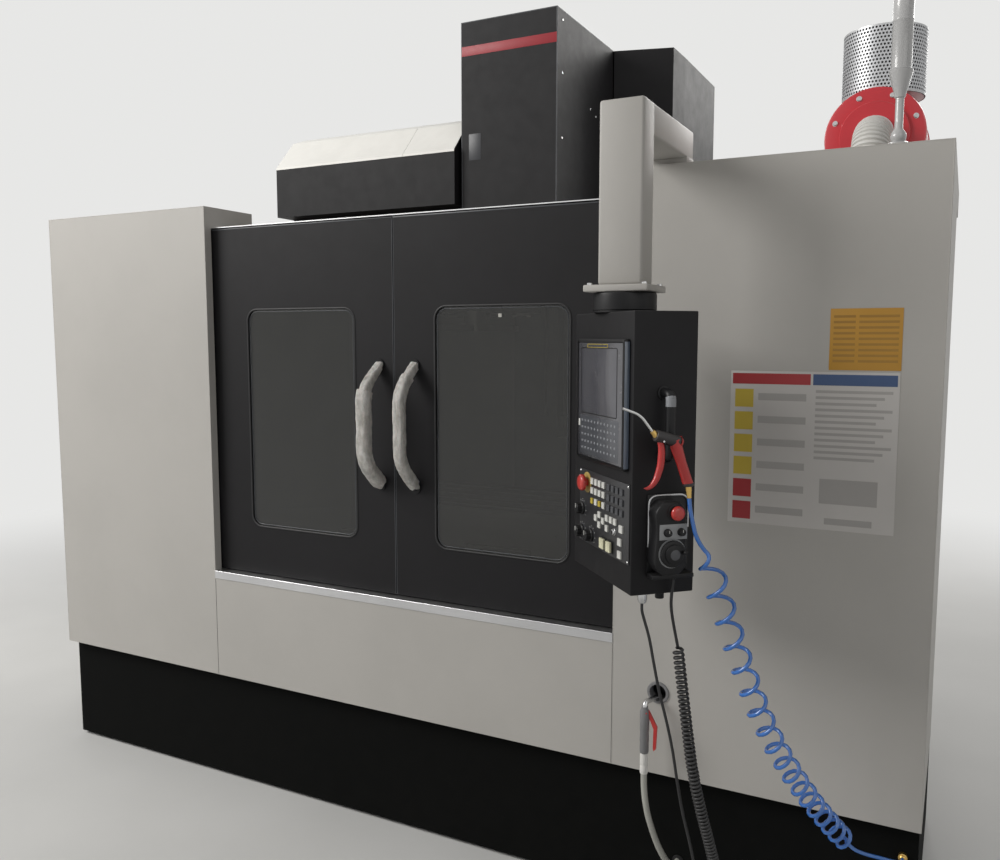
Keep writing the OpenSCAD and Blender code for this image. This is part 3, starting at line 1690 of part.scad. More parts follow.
module mist_collector() {
    z = roof_z + drum_r + 2;
    y1 = drum_y + drum_l;
    cage_x = drum_x + 9;
    cage_y = drum_y + 125;
    bend_r = 110;
    ribs = 11;
    rib_angle = 90 / (2 * ribs + 1);
    color("#b32025") {
        disc_along_y([drum_y, y1], drum_x, z, drum_r);
        disc_along_y([drum_y - 12, drum_y], drum_x, z, 97);
        disc_along_y([y1, y1 + 60], drum_x, z, 80);
        // Cradle on the roof and neck of the cage
        block([drum_x - 60, drum_x + 60], [drum_y + 40, y1 - 40], [roof_z, z - 120]);
        disc_along_z([z + 100, z + drum_r + 8], cage_x, cage_y, 80);
    }
    color("silver")
    difference() {
        disc_along_z([z + drum_r + 8, cage_z1], cage_x, cage_y, cage_r);
        disc_along_z([z + drum_r + 10, cage_z1 - 2], cage_x, cage_y,
            cage_r - 2);
    }
    // Corrugated elbow from the drum into the roof
    color("white")
        translate([drum_x, drum_y - 12, z - bend_r + 12])
            rotate([0, -90, 0]) {
                rotate([0, 0, -90])
                    rotate_extrude(angle = 90)
                        translate([bend_r - 12, 0])
                            circle(r = duct_r - 4);
                for (i = [0 : ribs])
                    rotate([0, 0, -(2 * i + 1) * rib_angle])
                        rotate_extrude(angle = rib_angle)
                            translate([bend_r - 12, 0])
                                circle(r = duct_r);
            }
    color("white")
        disc_along_z([roof_z, z - bend_r + 12], drum_x,
            drum_y - bend_r, duct_r - 2);
}

module signal_tower() {
    x = 1430;
    y = 60;
    color("#c9cbcc") {
        disc_along_z([roof_z, roof_z + 12], x, y, 26);
        translate([x, y, roof_z + 26])
            sphere(r = 18);
        disc_along_z([roof_z + 26, roof_z + 116], x, y, 9.5);
        translate([x, y, roof_z + 116])
            cylinder(h = 61, r1 = 12, r2 = 27);
        disc_along_z([roof_z + 177, roof_z + 520], x, y, 23);
        disc_along_z([roof_z + 520, roof_z + 540], x, y, 20);
    }
}

module hose_fittings() {
    // Ring of the wash gun's port
    color("#8f9294")
    difference() {
        union() {
            disc_along_y([-4, 0], port_at[0], port_at[1], 31.5);
            disc_along_y([0, 30], port_at[0], port_at[1], 26);
        }
        disc_along_y([-5, 31], port_at[0], port_at[1], 23.3);
    }
    // Air supply fitting on the plinth
    color("silver") {
        disc_along_y([20, plinth_back], air_supply_at[0], air_supply_at[1], 11);
        disc_along_y([plinth_back, plinth_back + 30], air_supply_at[0],
            air_supply_at[1], 8.9);
    }
    // Gland of the wash hose
    color("#222426") {
        disc_along_y([34, plinth_back], wash_gland_at[0], wash_gland_at[1], 16);
        disc_along_y([plinth_back, plinth_back + 25], wash_gland_at[0],
            wash_gland_at[1], 12.9);
    }
}

// Hoses and cords

module air_hose() {
    color("#1f6fd0") {
        swept_tube(air_top_route, air_hose_r);
        swept_tube(air_coil_route, air_coil_r, 12);
        swept_tube(air_tail_route, air_hose_r);
    }
}

module pulse_cord() {
    color("#202020") {
        swept_tube(pulse_lead_route, pulse_cord_r, 8);
        swept_tube(pulse_return_route, pulse_cord_r, 8);
    }
}

module pulse_cord_coil() {
    color("#202020")
        swept_tube(pulse_coil_route, pulse_coil_r, 12);
}

module wash_hose() {
    color("#cfd2cf")
        swept_tube(wash_hose_route, wash_hose_r);
}

placed() bed();
placed() leveling_feet();
placed() base_skirt();
placed() left_front_cover();
placed() right_front_cover();
placed() lower_front_cover();
placed() door_rails();
placed() enclosure_shell();
placed() chamber_liner();
placed() chamber_wall();
placed() column();
placed() column_cover();
placed() y_screw();
placed() saddle();
placed() x_screw();
placed() table();
placed() head();
placed() z_screw();
placed() head_cover();
placed() spindle();
placed() axis_motors();
placed() changer_frame();
placed() arm_sleeve();
placed() change_arm();
placed() magazine_cover();
placed() tool_carousel();
placed() change_pot();
placed() pendant_arm();
placed() pendant_box();
placed() display_unit();
placed() panel_keys();
placed() pendant_estop();
placed() feed_knob();
placed() speed_knob();
placed() mode_switch();
placed() start_button();
placed() hold_button();
placed() pulse_unit();
placed() pulse_dial();
placed() pulse_estop();
placed() air_gun();
placed() gun_trigger();
placed() wash_gun();
placed() wash_trigger();
placed() electrical_cabinet();
placed() cabinet_door();
placed() coolant_tank();
placed() mist_collector();
placed() signal_tower();
placed() hose_fittings();
placed() left_door();
placed() left_window();
placed() left_handle();
placed() right_door();
placed() right_window();
placed() right_handle();
placed() air_hose();
placed() pulse_cord();
placed() pulse_cord_coil();
placed() wash_hose();
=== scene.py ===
"""Looks of an enclosed vertical machining center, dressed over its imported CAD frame."""

import logging
import math
from dataclasses import dataclass, field
from enum import Enum
from typing import Callable

import bpy
from mathutils import Matrix, Vector


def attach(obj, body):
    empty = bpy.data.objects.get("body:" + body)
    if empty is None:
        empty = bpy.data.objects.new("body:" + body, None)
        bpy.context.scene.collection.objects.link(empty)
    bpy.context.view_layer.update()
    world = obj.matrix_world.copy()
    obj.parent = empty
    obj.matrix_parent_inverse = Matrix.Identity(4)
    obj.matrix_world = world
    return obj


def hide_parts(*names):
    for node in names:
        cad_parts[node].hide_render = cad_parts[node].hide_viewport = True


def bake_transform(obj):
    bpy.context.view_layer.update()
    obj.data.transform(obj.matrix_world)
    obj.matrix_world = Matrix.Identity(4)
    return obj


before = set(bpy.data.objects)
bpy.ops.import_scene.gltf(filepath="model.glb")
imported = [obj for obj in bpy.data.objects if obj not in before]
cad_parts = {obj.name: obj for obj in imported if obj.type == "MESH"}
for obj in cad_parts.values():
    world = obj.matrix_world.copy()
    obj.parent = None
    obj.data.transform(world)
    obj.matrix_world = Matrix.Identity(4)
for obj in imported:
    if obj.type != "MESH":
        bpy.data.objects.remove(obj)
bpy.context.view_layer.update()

LOG = logging.getLogger("scene")
MM = 0.001
MERGE_DISTANCE = 0.00002
ORIGIN_Y = 871.88
PENDANT_TURN = math.radians(46.0)
PENDANT_BODIES = frozenset({
    "pendant", "pendant_estop", "feed_knob", "speed_knob", "mode_switch", "start_button",
    "hold_button", "pulse_dial", "pulse_estop", "gun_trigger"})
Point = tuple[float, float, float]
Colour = tuple[float, float, float]
Span = tuple[float, float]
Node = bpy.types.Node
Socket = bpy.types.NodeSocket
Tree = bpy.types.NodeTree
SMOOTH = 60.0  # Crease angle of round pieces, in degrees
CREASE = 35.0  # Crease angle of the other pieces, in degrees


class Place(Enum):
    """Frame in which a piece is drawn, in millimetres."""

    MACHINE = "machine"
    PENDANT = "pendant"

    def matrix(self) -> Matrix:
        """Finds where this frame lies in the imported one.

        Returns:
            The matrix from this frame, in metres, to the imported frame.
        """
        if self is Place.MACHINE:
            return Matrix.Translation((0.0, -ORIGIN_Y * MM, 0.0))
        axis = Matrix.Translation((0.879, (-302.0 - ORIGIN_Y) * MM, 0.0))
        turned = Matrix.Rotation(-PENDANT_TURN, 4, "Z")
        return axis @ turned @ Matrix.Translation((0.011, 0.018, 0.0))

    @classmethod
    def of(cls, body: str | None) -> "Place":
        """The frame in which the pieces of a body are drawn."""
        return cls.PENDANT if body in PENDANT_BODIES else cls.MACHINE

    def point(self, at: Point) -> Vector:
        """A point of this frame, in millimetres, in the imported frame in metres."""
        return self.matrix() @ (Vector(at) * MM)


class Axis(Enum):
    """Direction in which a turned piece points."""

    X = (1.0, 0.0, 0.0)
    Y = (0.0, 1.0, 0.0)
    Z = (0.0, 0.0, 1.0)
    FRONT = (0.0, -1.0, 0.0)


# Node groups that several finishes share


class Wiring:
    """Short calls for building node trees."""

    def __init__(self, tree: Tree) -> None:
        """Keeps the tree that the nodes go into."""
        self.tree = tree

    def node(self, kind: str, **values: object) -> Node:
        """Adds a node and sets its plain properties.

        Args:
            kind: Name of the node's type, without its ShaderNode start.
            values: Properties of the node.

        Returns:
            The new node.
        """
        made = self.tree.nodes.new("ShaderNode" + kind)
        for name, value in values.items():
            setattr(made, name, value)
        return made

    def feed(self, source: object, target: Socket) -> None:
        """Links a socket, or sets a plain value, on an input.

        Args:
            source: An output socket, a number or a colour.
            target: The input socket.
        """
        if isinstance(source, Socket):
            self.tree.links.new(source, target)
        elif target.type == "RGBA" and len(source) == 3:
            target.default_value = (*source, 1.0)
        else:
            target.default_value = source

    def math(self, how: str, a: object, b: object = 0.0, clamp: bool = False) -> Socket:
        """One arithmetic step.

        Args:
            how: The Math node's operation.
            a: First operand.
            b: Second operand.
            clamp: Whether the result is held between 0 and 1.

        Returns:
            The result's socket.
        """
        made = self.node("Math", operation=how, use_clamp=clamp)
        self.feed(a, made.inputs[0])
        self.feed(b, made.inputs[1])
        return made.outputs[0]

    def times(self, a: object, b: object, clamp: bool = False) -> Socket:
        """The product of two values."""
        return self.math("MULTIPLY", a, b, clamp)

    def plus(self, a: object, b: object, clamp: bool = False) -> Socket:
        """The sum of two values."""
        return self.math("ADD", a, b, clamp)

    def vector(self, how: str, a: object, b: object) -> Socket:
        """One step of vector arithmetic.

        Args:
            how: The Vector Math node's operation.
            a: First operand.
            b: Second operand.

        Returns:
            The result's socket.
        """
        made = self.node("VectorMath", operation=how)
        self.feed(a, made.inputs[0])
        self.feed(b, made.inputs[1])
        return made.outputs[0]

    def seen_directly(self) -> Socket:
        """Tells the rays that show the surface from those that carry light.

        Returns:
            1 for rays from the camera, mirrors and glass, and 0 for the others.
        """
        path = self.node("LightPath")
        seen = self.math("MAXIMUM", path.outputs["Is Camera Ray"], path.outputs["Is Glossy Ray"])
        return self.math("MAXIMUM", seen, path.outputs["Is Transmission Ray"])

    def noise(
            self, vector: object, scale: object, detail: float = 3.0, rough: float = 0.5) -> Socket:
        """A noise value over a vector.

        Args:
            vector: Where the noise is read.
            scale: Its scale, per metre.
            detail: Its number of octaves.
            rough: How strong the fine octaves are.

        Returns:
            The noise value's socket.
        """
        made = self.node("TexNoise")
        self.feed(vector, made.inputs["Vector"])
        self.feed(scale, made.inputs["Scale"])
        made.inputs["Detail"].default_value = detail
        made.inputs["Roughness"].default_value = rough
        return made.outputs["Fac"]

    def mix(self, factor: object, a: object, b: object, how: str = "MIX") -> Socket:
        """Mixes two colours.

        Args:
            factor: Share of the second colour.
            a: First colour.
            b: Second colour.
            how: Blend type.

        Returns:
            The mixed colour's socket.
        """
        made = self.node("Mix", data_type="RGBA", blend_type=how)
        self.feed(factor, made.inputs[0])
        self.feed(a, made.inputs[6])
        self.feed(b, made.inputs[7])
        return made.outputs[2]

    def ramp(self, value: object, low: float, high: float) -> Socket:
        """Spreads a value's range from low to high over 0 to 1, smoothly.

        Args:
            value: The value's socket.
            low: Value that becomes 0.
            high: Value that becomes 1.

        Returns:
            The spread value's socket.
        """
        made = self.node("MapRange", interpolation_type="SMOOTHSTEP")
        self.feed(value, made.inputs[0])
        made.inputs[1].default_value = low
        made.inputs[2].default_value = high
        return made.outputs[0]


def new_group(
        name: str, inputs: dict[str, str],
        outputs: dict[str, str]) -> tuple[Tree, Wiring, Node, Node]:
    """Starts a shader node group with its sockets.

    Args:
        name: The group's name.
        inputs: Socket types by input name.
        outputs: Socket types by output name.

    Returns:
        The tree, its wiring, and its input and output nodes.
    """
    tree = bpy.data.node_groups.new(name, "ShaderNodeTree")
    for way, sockets in (("INPUT", inputs), ("OUTPUT", outputs)):
        for label, kind in sockets.items():
            tree.interface.new_socket(name=label, in_out=way, socket_type="NodeSocket" + kind)
    wiring = Wiring(tree)
    start, end = tree.nodes.new("NodeGroupInput"), tree.nodes.new("NodeGroupOutput")
    return tree, wiring, start, end


def shop_wear_group() -> Tree:
    """Grain, broad patches and settled dust of a painted or bare surface.

    Returns:
        The node group.
    """
    name = "shop_wear"
    if name in bpy.data.node_groups:
        return bpy.data.node_groups[name]
    tree, w, start, end = new_group(
        name,
        {"Vector": "Vector", "Normal": "Vector", "Colour": "Color", "Dust Colour": "Color",
         "Grain": "Float", "Mottle": "Float", "Dust": "Float", "Roughness": "Float"},
        {"Colour": "Color", "Roughness": "Float", "Height": "Float"})
    vector = start.outputs["Vector"]
    fine = w.noise(vector, start.outputs["Grain"], 2.0)
    broad = w.noise(vector, 2.3, 6.0, 0.6)
    middle = w.noise(vector, 19.0, 5.0, 0.65)
    darken = w.times(start.outputs["Mottle"], w.ramp(broad, 0.35, 0.7))
    patched = w.mix(darken, start.outputs["Colour"], (0.0, 0.0, 0.0))
    up = w.node("SeparateXYZ")
    w.feed(start.outputs["Normal"], up.inputs[0])
    high = w.node("SeparateXYZ")
    w.feed(vector, high.inputs[0])
    lying = w.ramp(up.outputs[2], 0.3, 0.95)
    low = w.math("SUBTRACT", 1.0, w.ramp(high.outputs[2], 0.0, 0.75))
    settled = w.plus(lying, w.times(low, 0.45))
    cloud = w.ramp(w.plus(w.times(broad, 0.5), w.times(middle, 0.5)), 0.3, 0.68)
    veil = w.times(w.times(settled, cloud), start.outputs["Dust"], clamp=True)
    w.feed(w.mix(veil, patched, start.outputs["Dust Colour"]), end.inputs["Colour"])
    rough = w.plus(start.outputs["Roughness"], w.times(w.math("SUBTRACT", middle, 0.5), 0.18))
    w.feed(w.plus(rough, w.times(veil, 0.3), clamp=True), end.inputs["Roughness"])
    w.feed(fine, end.inputs["Height"])
    return tree


def streak_group() -> Tree:
    """Fine parallel streaks, such as a brushed or rolled surface has.

    Returns:
        The node group.
    """
    name = "streaks"
    if name in bpy.data.node_groups:
        return bpy.data.node_groups[name]
    tree, w, start, end = new_group(
        name, {"Vector": "Vector", "Stretch": "Vector"}, {"Streaks": "Float"})
    scaled = w.vector("MULTIPLY", start.outputs["Vector"], start.outputs["Stretch"])
    w.feed(w.noise(scaled, 1.0, 4.0, 0.6), end.inputs["Streaks"])
    return tree


# Finishes


@dataclass(frozen=True)
class Finish:
    """A painted, moulded or cast surface with grain, patches and dust."""

    name: str
    colour: Colour
    roughness: float = 0.5
    metallic: float = 0.0
    coat: float = 0.0
    specular: float = 0.5
    grain: float = 900.0
    relief: float = 0.12
    depth: float = 0.0006
    mottle: float = 0.12
    dust: float = 0.25
    dust_colour: Colour = (0.34, 0.32, 0.29)

    def material(self) -> bpy.types.Material:
        """The finish's material, built once.

        Returns:
            The material.
        """
        name = f"{self.name}_look"
        known = bpy.data.materials.get(name)
        if known is not None:
            return known
        made = bpy.data.materials.new(name)
        made.use_nodes = True
        made.diffuse_color = (*self.colour, 1.0)
        made.node_tree.nodes.clear()
        w = Wiring(made.node_tree)
        shader = w.node("BsdfPrincipled")
        out = w.node("OutputMaterial")
        w.feed(shader.outputs[0], out.inputs[0])
        self.wire(w, shader)
        return made

    def wear(self, w: Wiring, colour: object) -> Node:
        """Adds the shared wear group over a colour.

        Args:
            w: The material's wiring.
            colour: The clean colour, plain or a socket.

        Returns:
            The group's node.
        """
        place = w.node("TexCoord")
        shape = w.node("NewGeometry")
        group = w.node("Group", node_tree=shop_wear_group())
        w.feed(place.outputs["Object"], group.inputs["Vector"])
        w.feed(shape.outputs["Normal"], group.inputs["Normal"])
        for label, value in (
                ("Colour", colour), ("Dust Colour", self.dust_colour), ("Grain", self.grain),
                ("Mottle", self.mottle), ("Dust", self.dust), ("Roughness", self.roughness)):
            w.feed(value, group.inputs[label])
        return group

    def dress(self, w: Wiring, shader: Node) -> None:
        """Feeds the worn colour, roughness and grain to the shader.

        Args:
            w: The material's wiring.
            shader: The Principled node.
        """
        shader.inputs["Metallic"].default_value = self.metallic
        group = self.wear(w, self.colour)
        w.feed(group.outputs["Colour"], shader.inputs["Base Color"])
        w.feed(group.outputs["Roughness"], shader.inputs["Roughness"])
        self.bump(w, group.outputs["Height"], shader)

    def bump(self, w: Wiring, height: object, shader: Node) -> None:
        """Feeds a height to the shader's normal through a Bump node.

        Args:
            w: The material's wiring.
            height: The height's socket.
            shader: The Principled node.
        """
        bump = w.node("Bump")
        bump.inputs["Strength"].default_value = self.relief
        bump.inputs["Distance"].default_value = self.depth
        w.feed(height, bump.inputs["Height"])
        w.feed(bump.outputs[0], shader.inputs["Normal"])

    def wire(self, w: Wiring, shader: Node) -> None:
        """Wires the finish's nodes to its shader.

        Args:
            w: The material's wiring.
            shader: The Principled node.
        """
        shader.inputs["Coat Weight"].default_value = self.coat
        shader.inputs["Specular IOR Level"].default_value = self.specular
        self.dress(w, shader)


@dataclass(frozen=True)
class Brushed(Finish):
    """Bare metal with parallel streaks along one axis."""

    stretch: Point = (4.0, 900.0, 900.0)
    metallic: float = 1.0
    streaks: float = 0.25

    def wire(self, w: Wiring, shader: Node) -> None:
        """Wires streaks over the shared wear.

        Args:
            w: The material's wiring.
            shader: The Principled node.
        """
        shader.inputs["Metallic"].default_value = self.metallic
        place = w.node("TexCoord")
        lines = w.node("Group", node_tree=streak_group())
        w.feed(place.outputs["Object"], lines.inputs["Vector"])
        lines.inputs["Stretch"].default_value = self.stretch
        darker = tuple(c * (1.0 - self.streaks) for c in self.colour)
        group = self.wear(w, w.mix(lines.outputs[0], self.colour, darker))
        w.feed(group.outputs["Colour"], shader.inputs["Base Color"])
        rough = w.plus(group.outputs["Roughness"], w.times(lines.outputs[0], 0.15), clamp=True)
        w.feed(rough, shader.inputs["Roughness"])
        self.bump(w, lines.outputs[0], shader)


@dataclass(frozen=True)
class SmokedGlass(Finish):
    """Dark safety glass with faint smears."""

    tint: Colour = (0.20, 0.21, 0.21)

    def wire(self, w: Wiring, shader: Node) -> None:
        """Wires a smooth tinted pane.

        Args:
            w: The material's wiring.
            shader: The Principled node.
        """
        shader.inputs["Metallic"].default_value = 0.0
        shader.inputs["Transmission Weight"].default_value = 1.0
        shader.inputs["IOR"].default_value = 1.5
        shader.inputs["Base Color"].default_value = (*self.tint, 1.0)
        place = w.node("TexCoord")
        smear = w.noise(place.outputs["Object"], 6.0, 6.0, 0.7)
        w.feed(w.times(w.ramp(smear, 0.45, 0.8), self.roughness), shader.inputs["Roughness"])


@dataclass(frozen=True)
class FoamWrap(Finish):
    """Thin white packing foam with crumpled folds, shop dirt and painted shade in the folds'
    creases.
    """

    def wire(self, w: Wiring, shader: Node) -> None:
        """Wires folds, cells and finger dirt, and darkens the folds' creases as painted shade.

        Args:
            w: The material's wiring.
            shader: The Principled node.
        """
        place = w.node("TexCoord")
        squeezed = w.vector("MULTIPLY", place.outputs["Object"], (1.0, 1.0, 0.35))
        folds = w.noise(squeezed, 90.0, 5.0, 0.6)
        cells = w.noise(place.outputs["Object"], 700.0, 2.0)
        dirt = w.ramp(w.noise(place.outputs["Object"], 24.0, 5.0, 0.7), 0.42, 0.72)
        grey = w.mix(w.times(dirt, 0.5), self.colour, (0.20, 0.185, 0.16))
        # Painted shade: the colour darkens where the folds' bump sinks into creases.
        w.feed(w.mix(w.times(w.ramp(folds, 0.62, 0.4), 0.35), grey, (0.16, 0.15, 0.13)),
               shader.inputs["Base Color"])
        shader.inputs["Roughness"].default_value = self.roughness
        shader.inputs["Subsurface Weight"].default_value = 0.08
        shader.inputs["Subsurface Scale"].default_value = 0.003
        self.bump(w, w.plus(folds, w.times(cells, 0.2)), shader)


@dataclass(frozen=True)
class Perforated(Finish):
    """Sheet rolled round an upright axis, with staggered slots through it."""

    axis: Point = (0.0, 0.0, 0.0)
    radius: float = 0.118
    pitch: float = 0.0098
    row_factor: float = 1.05
    hole: float = 0.33

    def wire(self, w: Wiring, shader: Node) -> None:
        """Wires staggered holes through Alpha, counted round the axis.

        Args:
            w: The material's wiring.
            shader: The Principled node.
        """
        place = w.node("TexCoord")
        parts = w.node("SeparateXYZ")
        w.feed(w.vector("SUBTRACT", place.outputs["Object"], self.axis), parts.inputs[0])
        turn = w.math("ARCTAN2", parts.outputs[1], parts.outputs[0])
        along = w.times(turn, self.radius / self.pitch)
        up = w.times(parts.outputs[2], 1.0 / (self.pitch * self.row_factor))
        row = w.math("FLOOR", up)
        shift = w.times(w.math("MODULO", row, 2.0), 0.5)
        across = w.math("SUBTRACT", w.math("FRACT", w.plus(along, shift)), 0.5)
        down = w.math("SUBTRACT", w.math("FRACT", up), 0.5)
        far = w.math("SQRT", w.plus(w.math("POWER", across, 2.0), w.math("POWER", down, 2.0)))
        w.feed(w.math("GREATER_THAN", far, self.hole), shader.inputs["Alpha"])
        self.dress(w, shader)


class Finishes:
    """The finishes of this machine, by what they cover."""

    LIGHT = Finish(
        "light_grey_paint", (0.45, 0.435, 0.41), 0.52, mottle=0.05, dust=0.30, grain=650.0,
        relief=0.22)
    CHARCOAL = Finish(
        "charcoal_paint", (0.0105, 0.0100, 0.0112), 0.55, specular=0.20, grain=650.0, relief=0.30,
        mottle=0.25, dust=0.14, dust_colour=(0.12, 0.118, 0.115))
    # Lighter and glossier than the charcoal paint: a painted highlight along the rounded folds,
    # lips and beads that it covers.
    EDGE = Finish(
        "worn_edge", (0.060, 0.064, 0.072), 0.40, grain=500.0, relief=0.2, mottle=0.3, dust=0.1)
    PATCH = Finish("cover_patch", (0.030, 0.032, 0.038), 0.42, grain=500.0, relief=0.1, dust=0.1)
    SCREEN_GLASS = Finish(
        "screen_glass", (0.095, 0.095, 0.110), 0.2, coat=0.4, grain=30.0, relief=0.04, depth=0.0004,
        mottle=0.4, dust=0.0)
    KEY_FIELD = Finish(
        "key_field_film", (0.070, 0.074, 0.086), 0.3, coat=0.3, mottle=0.2, dust=0.05)
    SOFT_KEYS = Finish("soft_keys", (0.26, 0.27, 0.29), 0.42, mottle=0.1, dust=0.05)
    PANEL = Finish(
        "operator_film", (0.022, 0.022, 0.025), 0.38, coat=0.15, grain=700.0, relief=0.06,
        mottle=0.2, dust=0.08)
    PLATE = Finish("scale_plate", (0.34, 0.35, 0.36), 0.4, mottle=0.12, dust=0.08, relief=0.05)
    HOLDER = Brushed(
        "holder_steel", (0.50, 0.50, 0.51), 0.35, dust=0.12, relief=0.05,
        stretch=(900.0, 900.0, 4.0))
    GREY_DARK = Finish(
        "gun_dark_plastic", (0.016, 0.013, 0.014), 0.42, grain=1400.0, relief=0.15, dust=0.1)
    CAGE_RIM = Finish(
        "cage_rim_paint", (0.62, 0.63, 0.64), 0.4, metallic=0.3, mottle=0.05, dust=0.1)
    CARTRIDGE = Finish(
        "cartridge_paper", (0.34, 0.345, 0.35), 0.8, grain=500.0, relief=0.3, mottle=0.3, dust=0.2)
    PLINTH = Finish(
        "plinth_paint", (0.0055, 0.0058, 0.0056), 0.7, specular=0.03, dust=0.12,
        dust_colour=(0.05, 0.048, 0.045))
    CASTING = Finish(
        "casting_paint", (0.15, 0.16, 0.17), 0.55, grain=220.0, relief=0.5, depth=0.001, mottle=0.3)
    STEEL = Brushed("ground_steel", (0.52, 0.53, 0.54), 0.25, dust=0.1, relief=0.05)
    LINER = Brushed("liner_steel", (0.36, 0.37, 0.38), 0.38, dust=0.15, relief=0.06)
    BRIGHT = Brushed(
        "bright_rail", (0.70, 0.70, 0.71), 0.26, dust=0.12, relief=0.05,
        stretch=(3.0, 700.0, 700.0))
    GLASS = SmokedGlass("smoked_glass", (0.05, 0.05, 0.05), 0.06, tint=(0.42, 0.41, 0.37))
    FOAM = FoamWrap("foam_wrap", (0.58, 0.565, 0.54), 0.85, relief=1.0, depth=0.004)
    MOTOR = Finish("motor_paint", (0.012, 0.012, 0.014), 0.4, dust=0.3)
    PLASTIC = Finish(
        "black_plastic", (0.008, 0.008, 0.009), 0.42, specular=0.25, grain=1800.0, relief=0.18,
        mottle=0.2, dust=0.12, dust_colour=(0.12, 0.115, 0.11))
    RUBBER = Finish(
        "gasket_rubber", (0.010, 0.010, 0.011), 0.55, grain=1200.0, relief=0.1, dust=0.1)
    SCREEN = Finish(
        "screen_film", (0.098, 0.098, 0.110), 0.25, coat=0.5, grain=40.0, relief=0.05, depth=0.0004,
        mottle=0.5, dust=0.0)
    BEZEL = Finish("bezel_film", (0.12, 0.15, 0.20), 0.3, coat=0.4, mottle=0.35, dust=0.05)
    KEYS_LIGHT = Finish("light_keys", (0.66, 0.66, 0.63), 0.45, mottle=0.08, dust=0.1, grain=1500.0)
    KEYS_DARK = Finish("dark_keys", (0.07, 0.072, 0.08), 0.42, mottle=0.1, dust=0.1, grain=1500.0)
    CREAM = Finish("cream_lens", (0.72, 0.70, 0.50), 0.3, coat=0.4, mottle=0.05, dust=0.05)
    AMBER = Finish("amber_mark", (0.55, 0.42, 0.05), 0.45, dust=0.05)
    STOP = Finish(
        "stop_red", (0.56, 0.030, 0.022), 0.3, coat=0.35, mottle=0.12, dust=0.05, grain=1500.0)
    COLLAR = Finish("stop_collar", (0.50, 0.36, 0.10), 0.42, mottle=0.15, dust=0.1)
    GUN_RED = Finish(
        "gun_red", (0.50, 0.022, 0.020), 0.36, coat=0.2, mottle=0.2, dust=0.1, grain=1500.0)
    DRUM_RED = Finish("drum_red", (0.62, 0.022, 0.035), 0.33, coat=0.3, mottle=0.12, dust=0.12)
    BAND_RED = Finish("band_red", (0.33, 0.018, 0.028), 0.5, mottle=0.2, dust=0.1)
    DUCT = Finish("duct_white", (0.74, 0.73, 0.70), 0.55, mottle=0.1, dust=0.15)
    LID = Finish("lid_white", (0.90, 0.89, 0.85), 0.5, mottle=0.06, dust=0.12)
    TOWER = Finish("tower_plastic", (0.50, 0.50, 0.50), 0.28, coat=0.5, mottle=0.1, dust=0.05)
    CHROME = Brushed("plated_metal", (0.62, 0.62, 0.62), 0.16, dust=0.05, relief=0.02, streaks=0.1)
    BRASS = Brushed("brass", (0.62, 0.42, 0.14), 0.28, dust=0.05, relief=0.02, streaks=0.15)
    GREY_GUN = Finish("gun_grey", (0.20, 0.20, 0.205), 0.4, dust=0.15, mottle=0.25)
    AIR_BLUE = Finish(
        "air_hose_blue", (0.022, 0.17, 0.60), 0.2, coat=0.7, grain=300.0, relief=0.04, mottle=0.2,
        dust=0.22, dust_colour=(0.30, 0.34, 0.42))
    CORD = Finish(
        "cord_rubber", (0.013, 0.013, 0.014), 0.5, grain=1500.0, relief=0.1, dust=0.35,
        dust_colour=(0.13, 0.125, 0.12))
    WATER = Finish("wash_hose", (0.44, 0.44, 0.40), 0.38, coat=0.2, mottle=0.3, dust=0.4)
    TANK = Brushed("tank_steel", (0.38, 0.39, 0.40), 0.42, dust=0.3)
    PUMP = Finish("pump_paint", (0.05, 0.12, 0.20), 0.4, dust=0.3)
    OCHRE = Finish("ochre_plate", (0.52, 0.27, 0.035), 0.45, mottle=0.1, dust=0.05, relief=0.03)
    OCHRE_DARK = Finish("ochre_field", (0.36, 0.19, 0.03), 0.45, mottle=0.1, dust=0.05, relief=0.03)
    SHEET = Finish("white_sheet", (0.56, 0.54, 0.52), 0.5, mottle=0.05, dust=0.05, relief=0.03)
    FIELD = Finish("grey_field", (0.40, 0.385, 0.37), 0.5, mottle=0.08, dust=0.05, relief=0.03)
    HEAD_RED = Finish("red_field", (0.36, 0.035, 0.040), 0.45, dust=0.05, relief=0.03)
    HEAD_BLUE = Finish("blue_field", (0.045, 0.085, 0.19), 0.45, dust=0.05, relief=0.03)
    YELLOW = Finish("yellow_field", (0.56, 0.42, 0.06), 0.45, dust=0.05, relief=0.03)


NODE_FINISHES: dict[Finish, tuple[str, ...]] = {
    Finishes.CASTING: ("bed", "column", "saddle", "head", "changer_frame"),
    Finishes.STEEL: (
        "leveling_feet", "y_screw", "x_screw", "table", "z_screw", "spindle", "arm_sleeve",
        "change_arm", "tool_carousel"),
    Finishes.PLINTH: ("base_skirt",),
    Finishes.LIGHT: (
        "left_front_cover", "right_front_cover", "lower_front_cover", "enclosure_shell",
        "pendant_arm", "electrical_cabinet", "cabinet_door"),
    Finishes.BRIGHT: ("door_rails",), Finishes.LINER: ("chamber_liner", "chamber_wall"),
    Finishes.CHARCOAL: (
        "column_cover", "head_cover", "magazine_cover", "pendant_box", "left_door", "right_door"),
    Finishes.MOTOR: ("axis_motors",),
    Finishes.PLASTIC: (
        "change_pot", "panel_keys", "feed_knob", "speed_knob", "mode_switch", "pulse_unit",
        "pulse_dial"),
    Finishes.BEZEL: ("display_unit",), Finishes.STOP: ("pendant_estop", "pulse_estop"),
    Finishes.CREAM: ("start_button", "hold_button"),
    Finishes.GUN_RED: ("air_gun", "gun_trigger", "wash_trigger"),
    Finishes.CHROME: ("wash_gun", "hose_fittings"), Finishes.TANK: ("coolant_tank",),
    Finishes.DRUM_RED: ("mist_collector",), Finishes.TOWER: ("signal_tower",),
    Finishes.GLASS: ("left_window", "right_window"),
    Finishes.FOAM: ("left_handle", "right_handle"),}


# Modelling


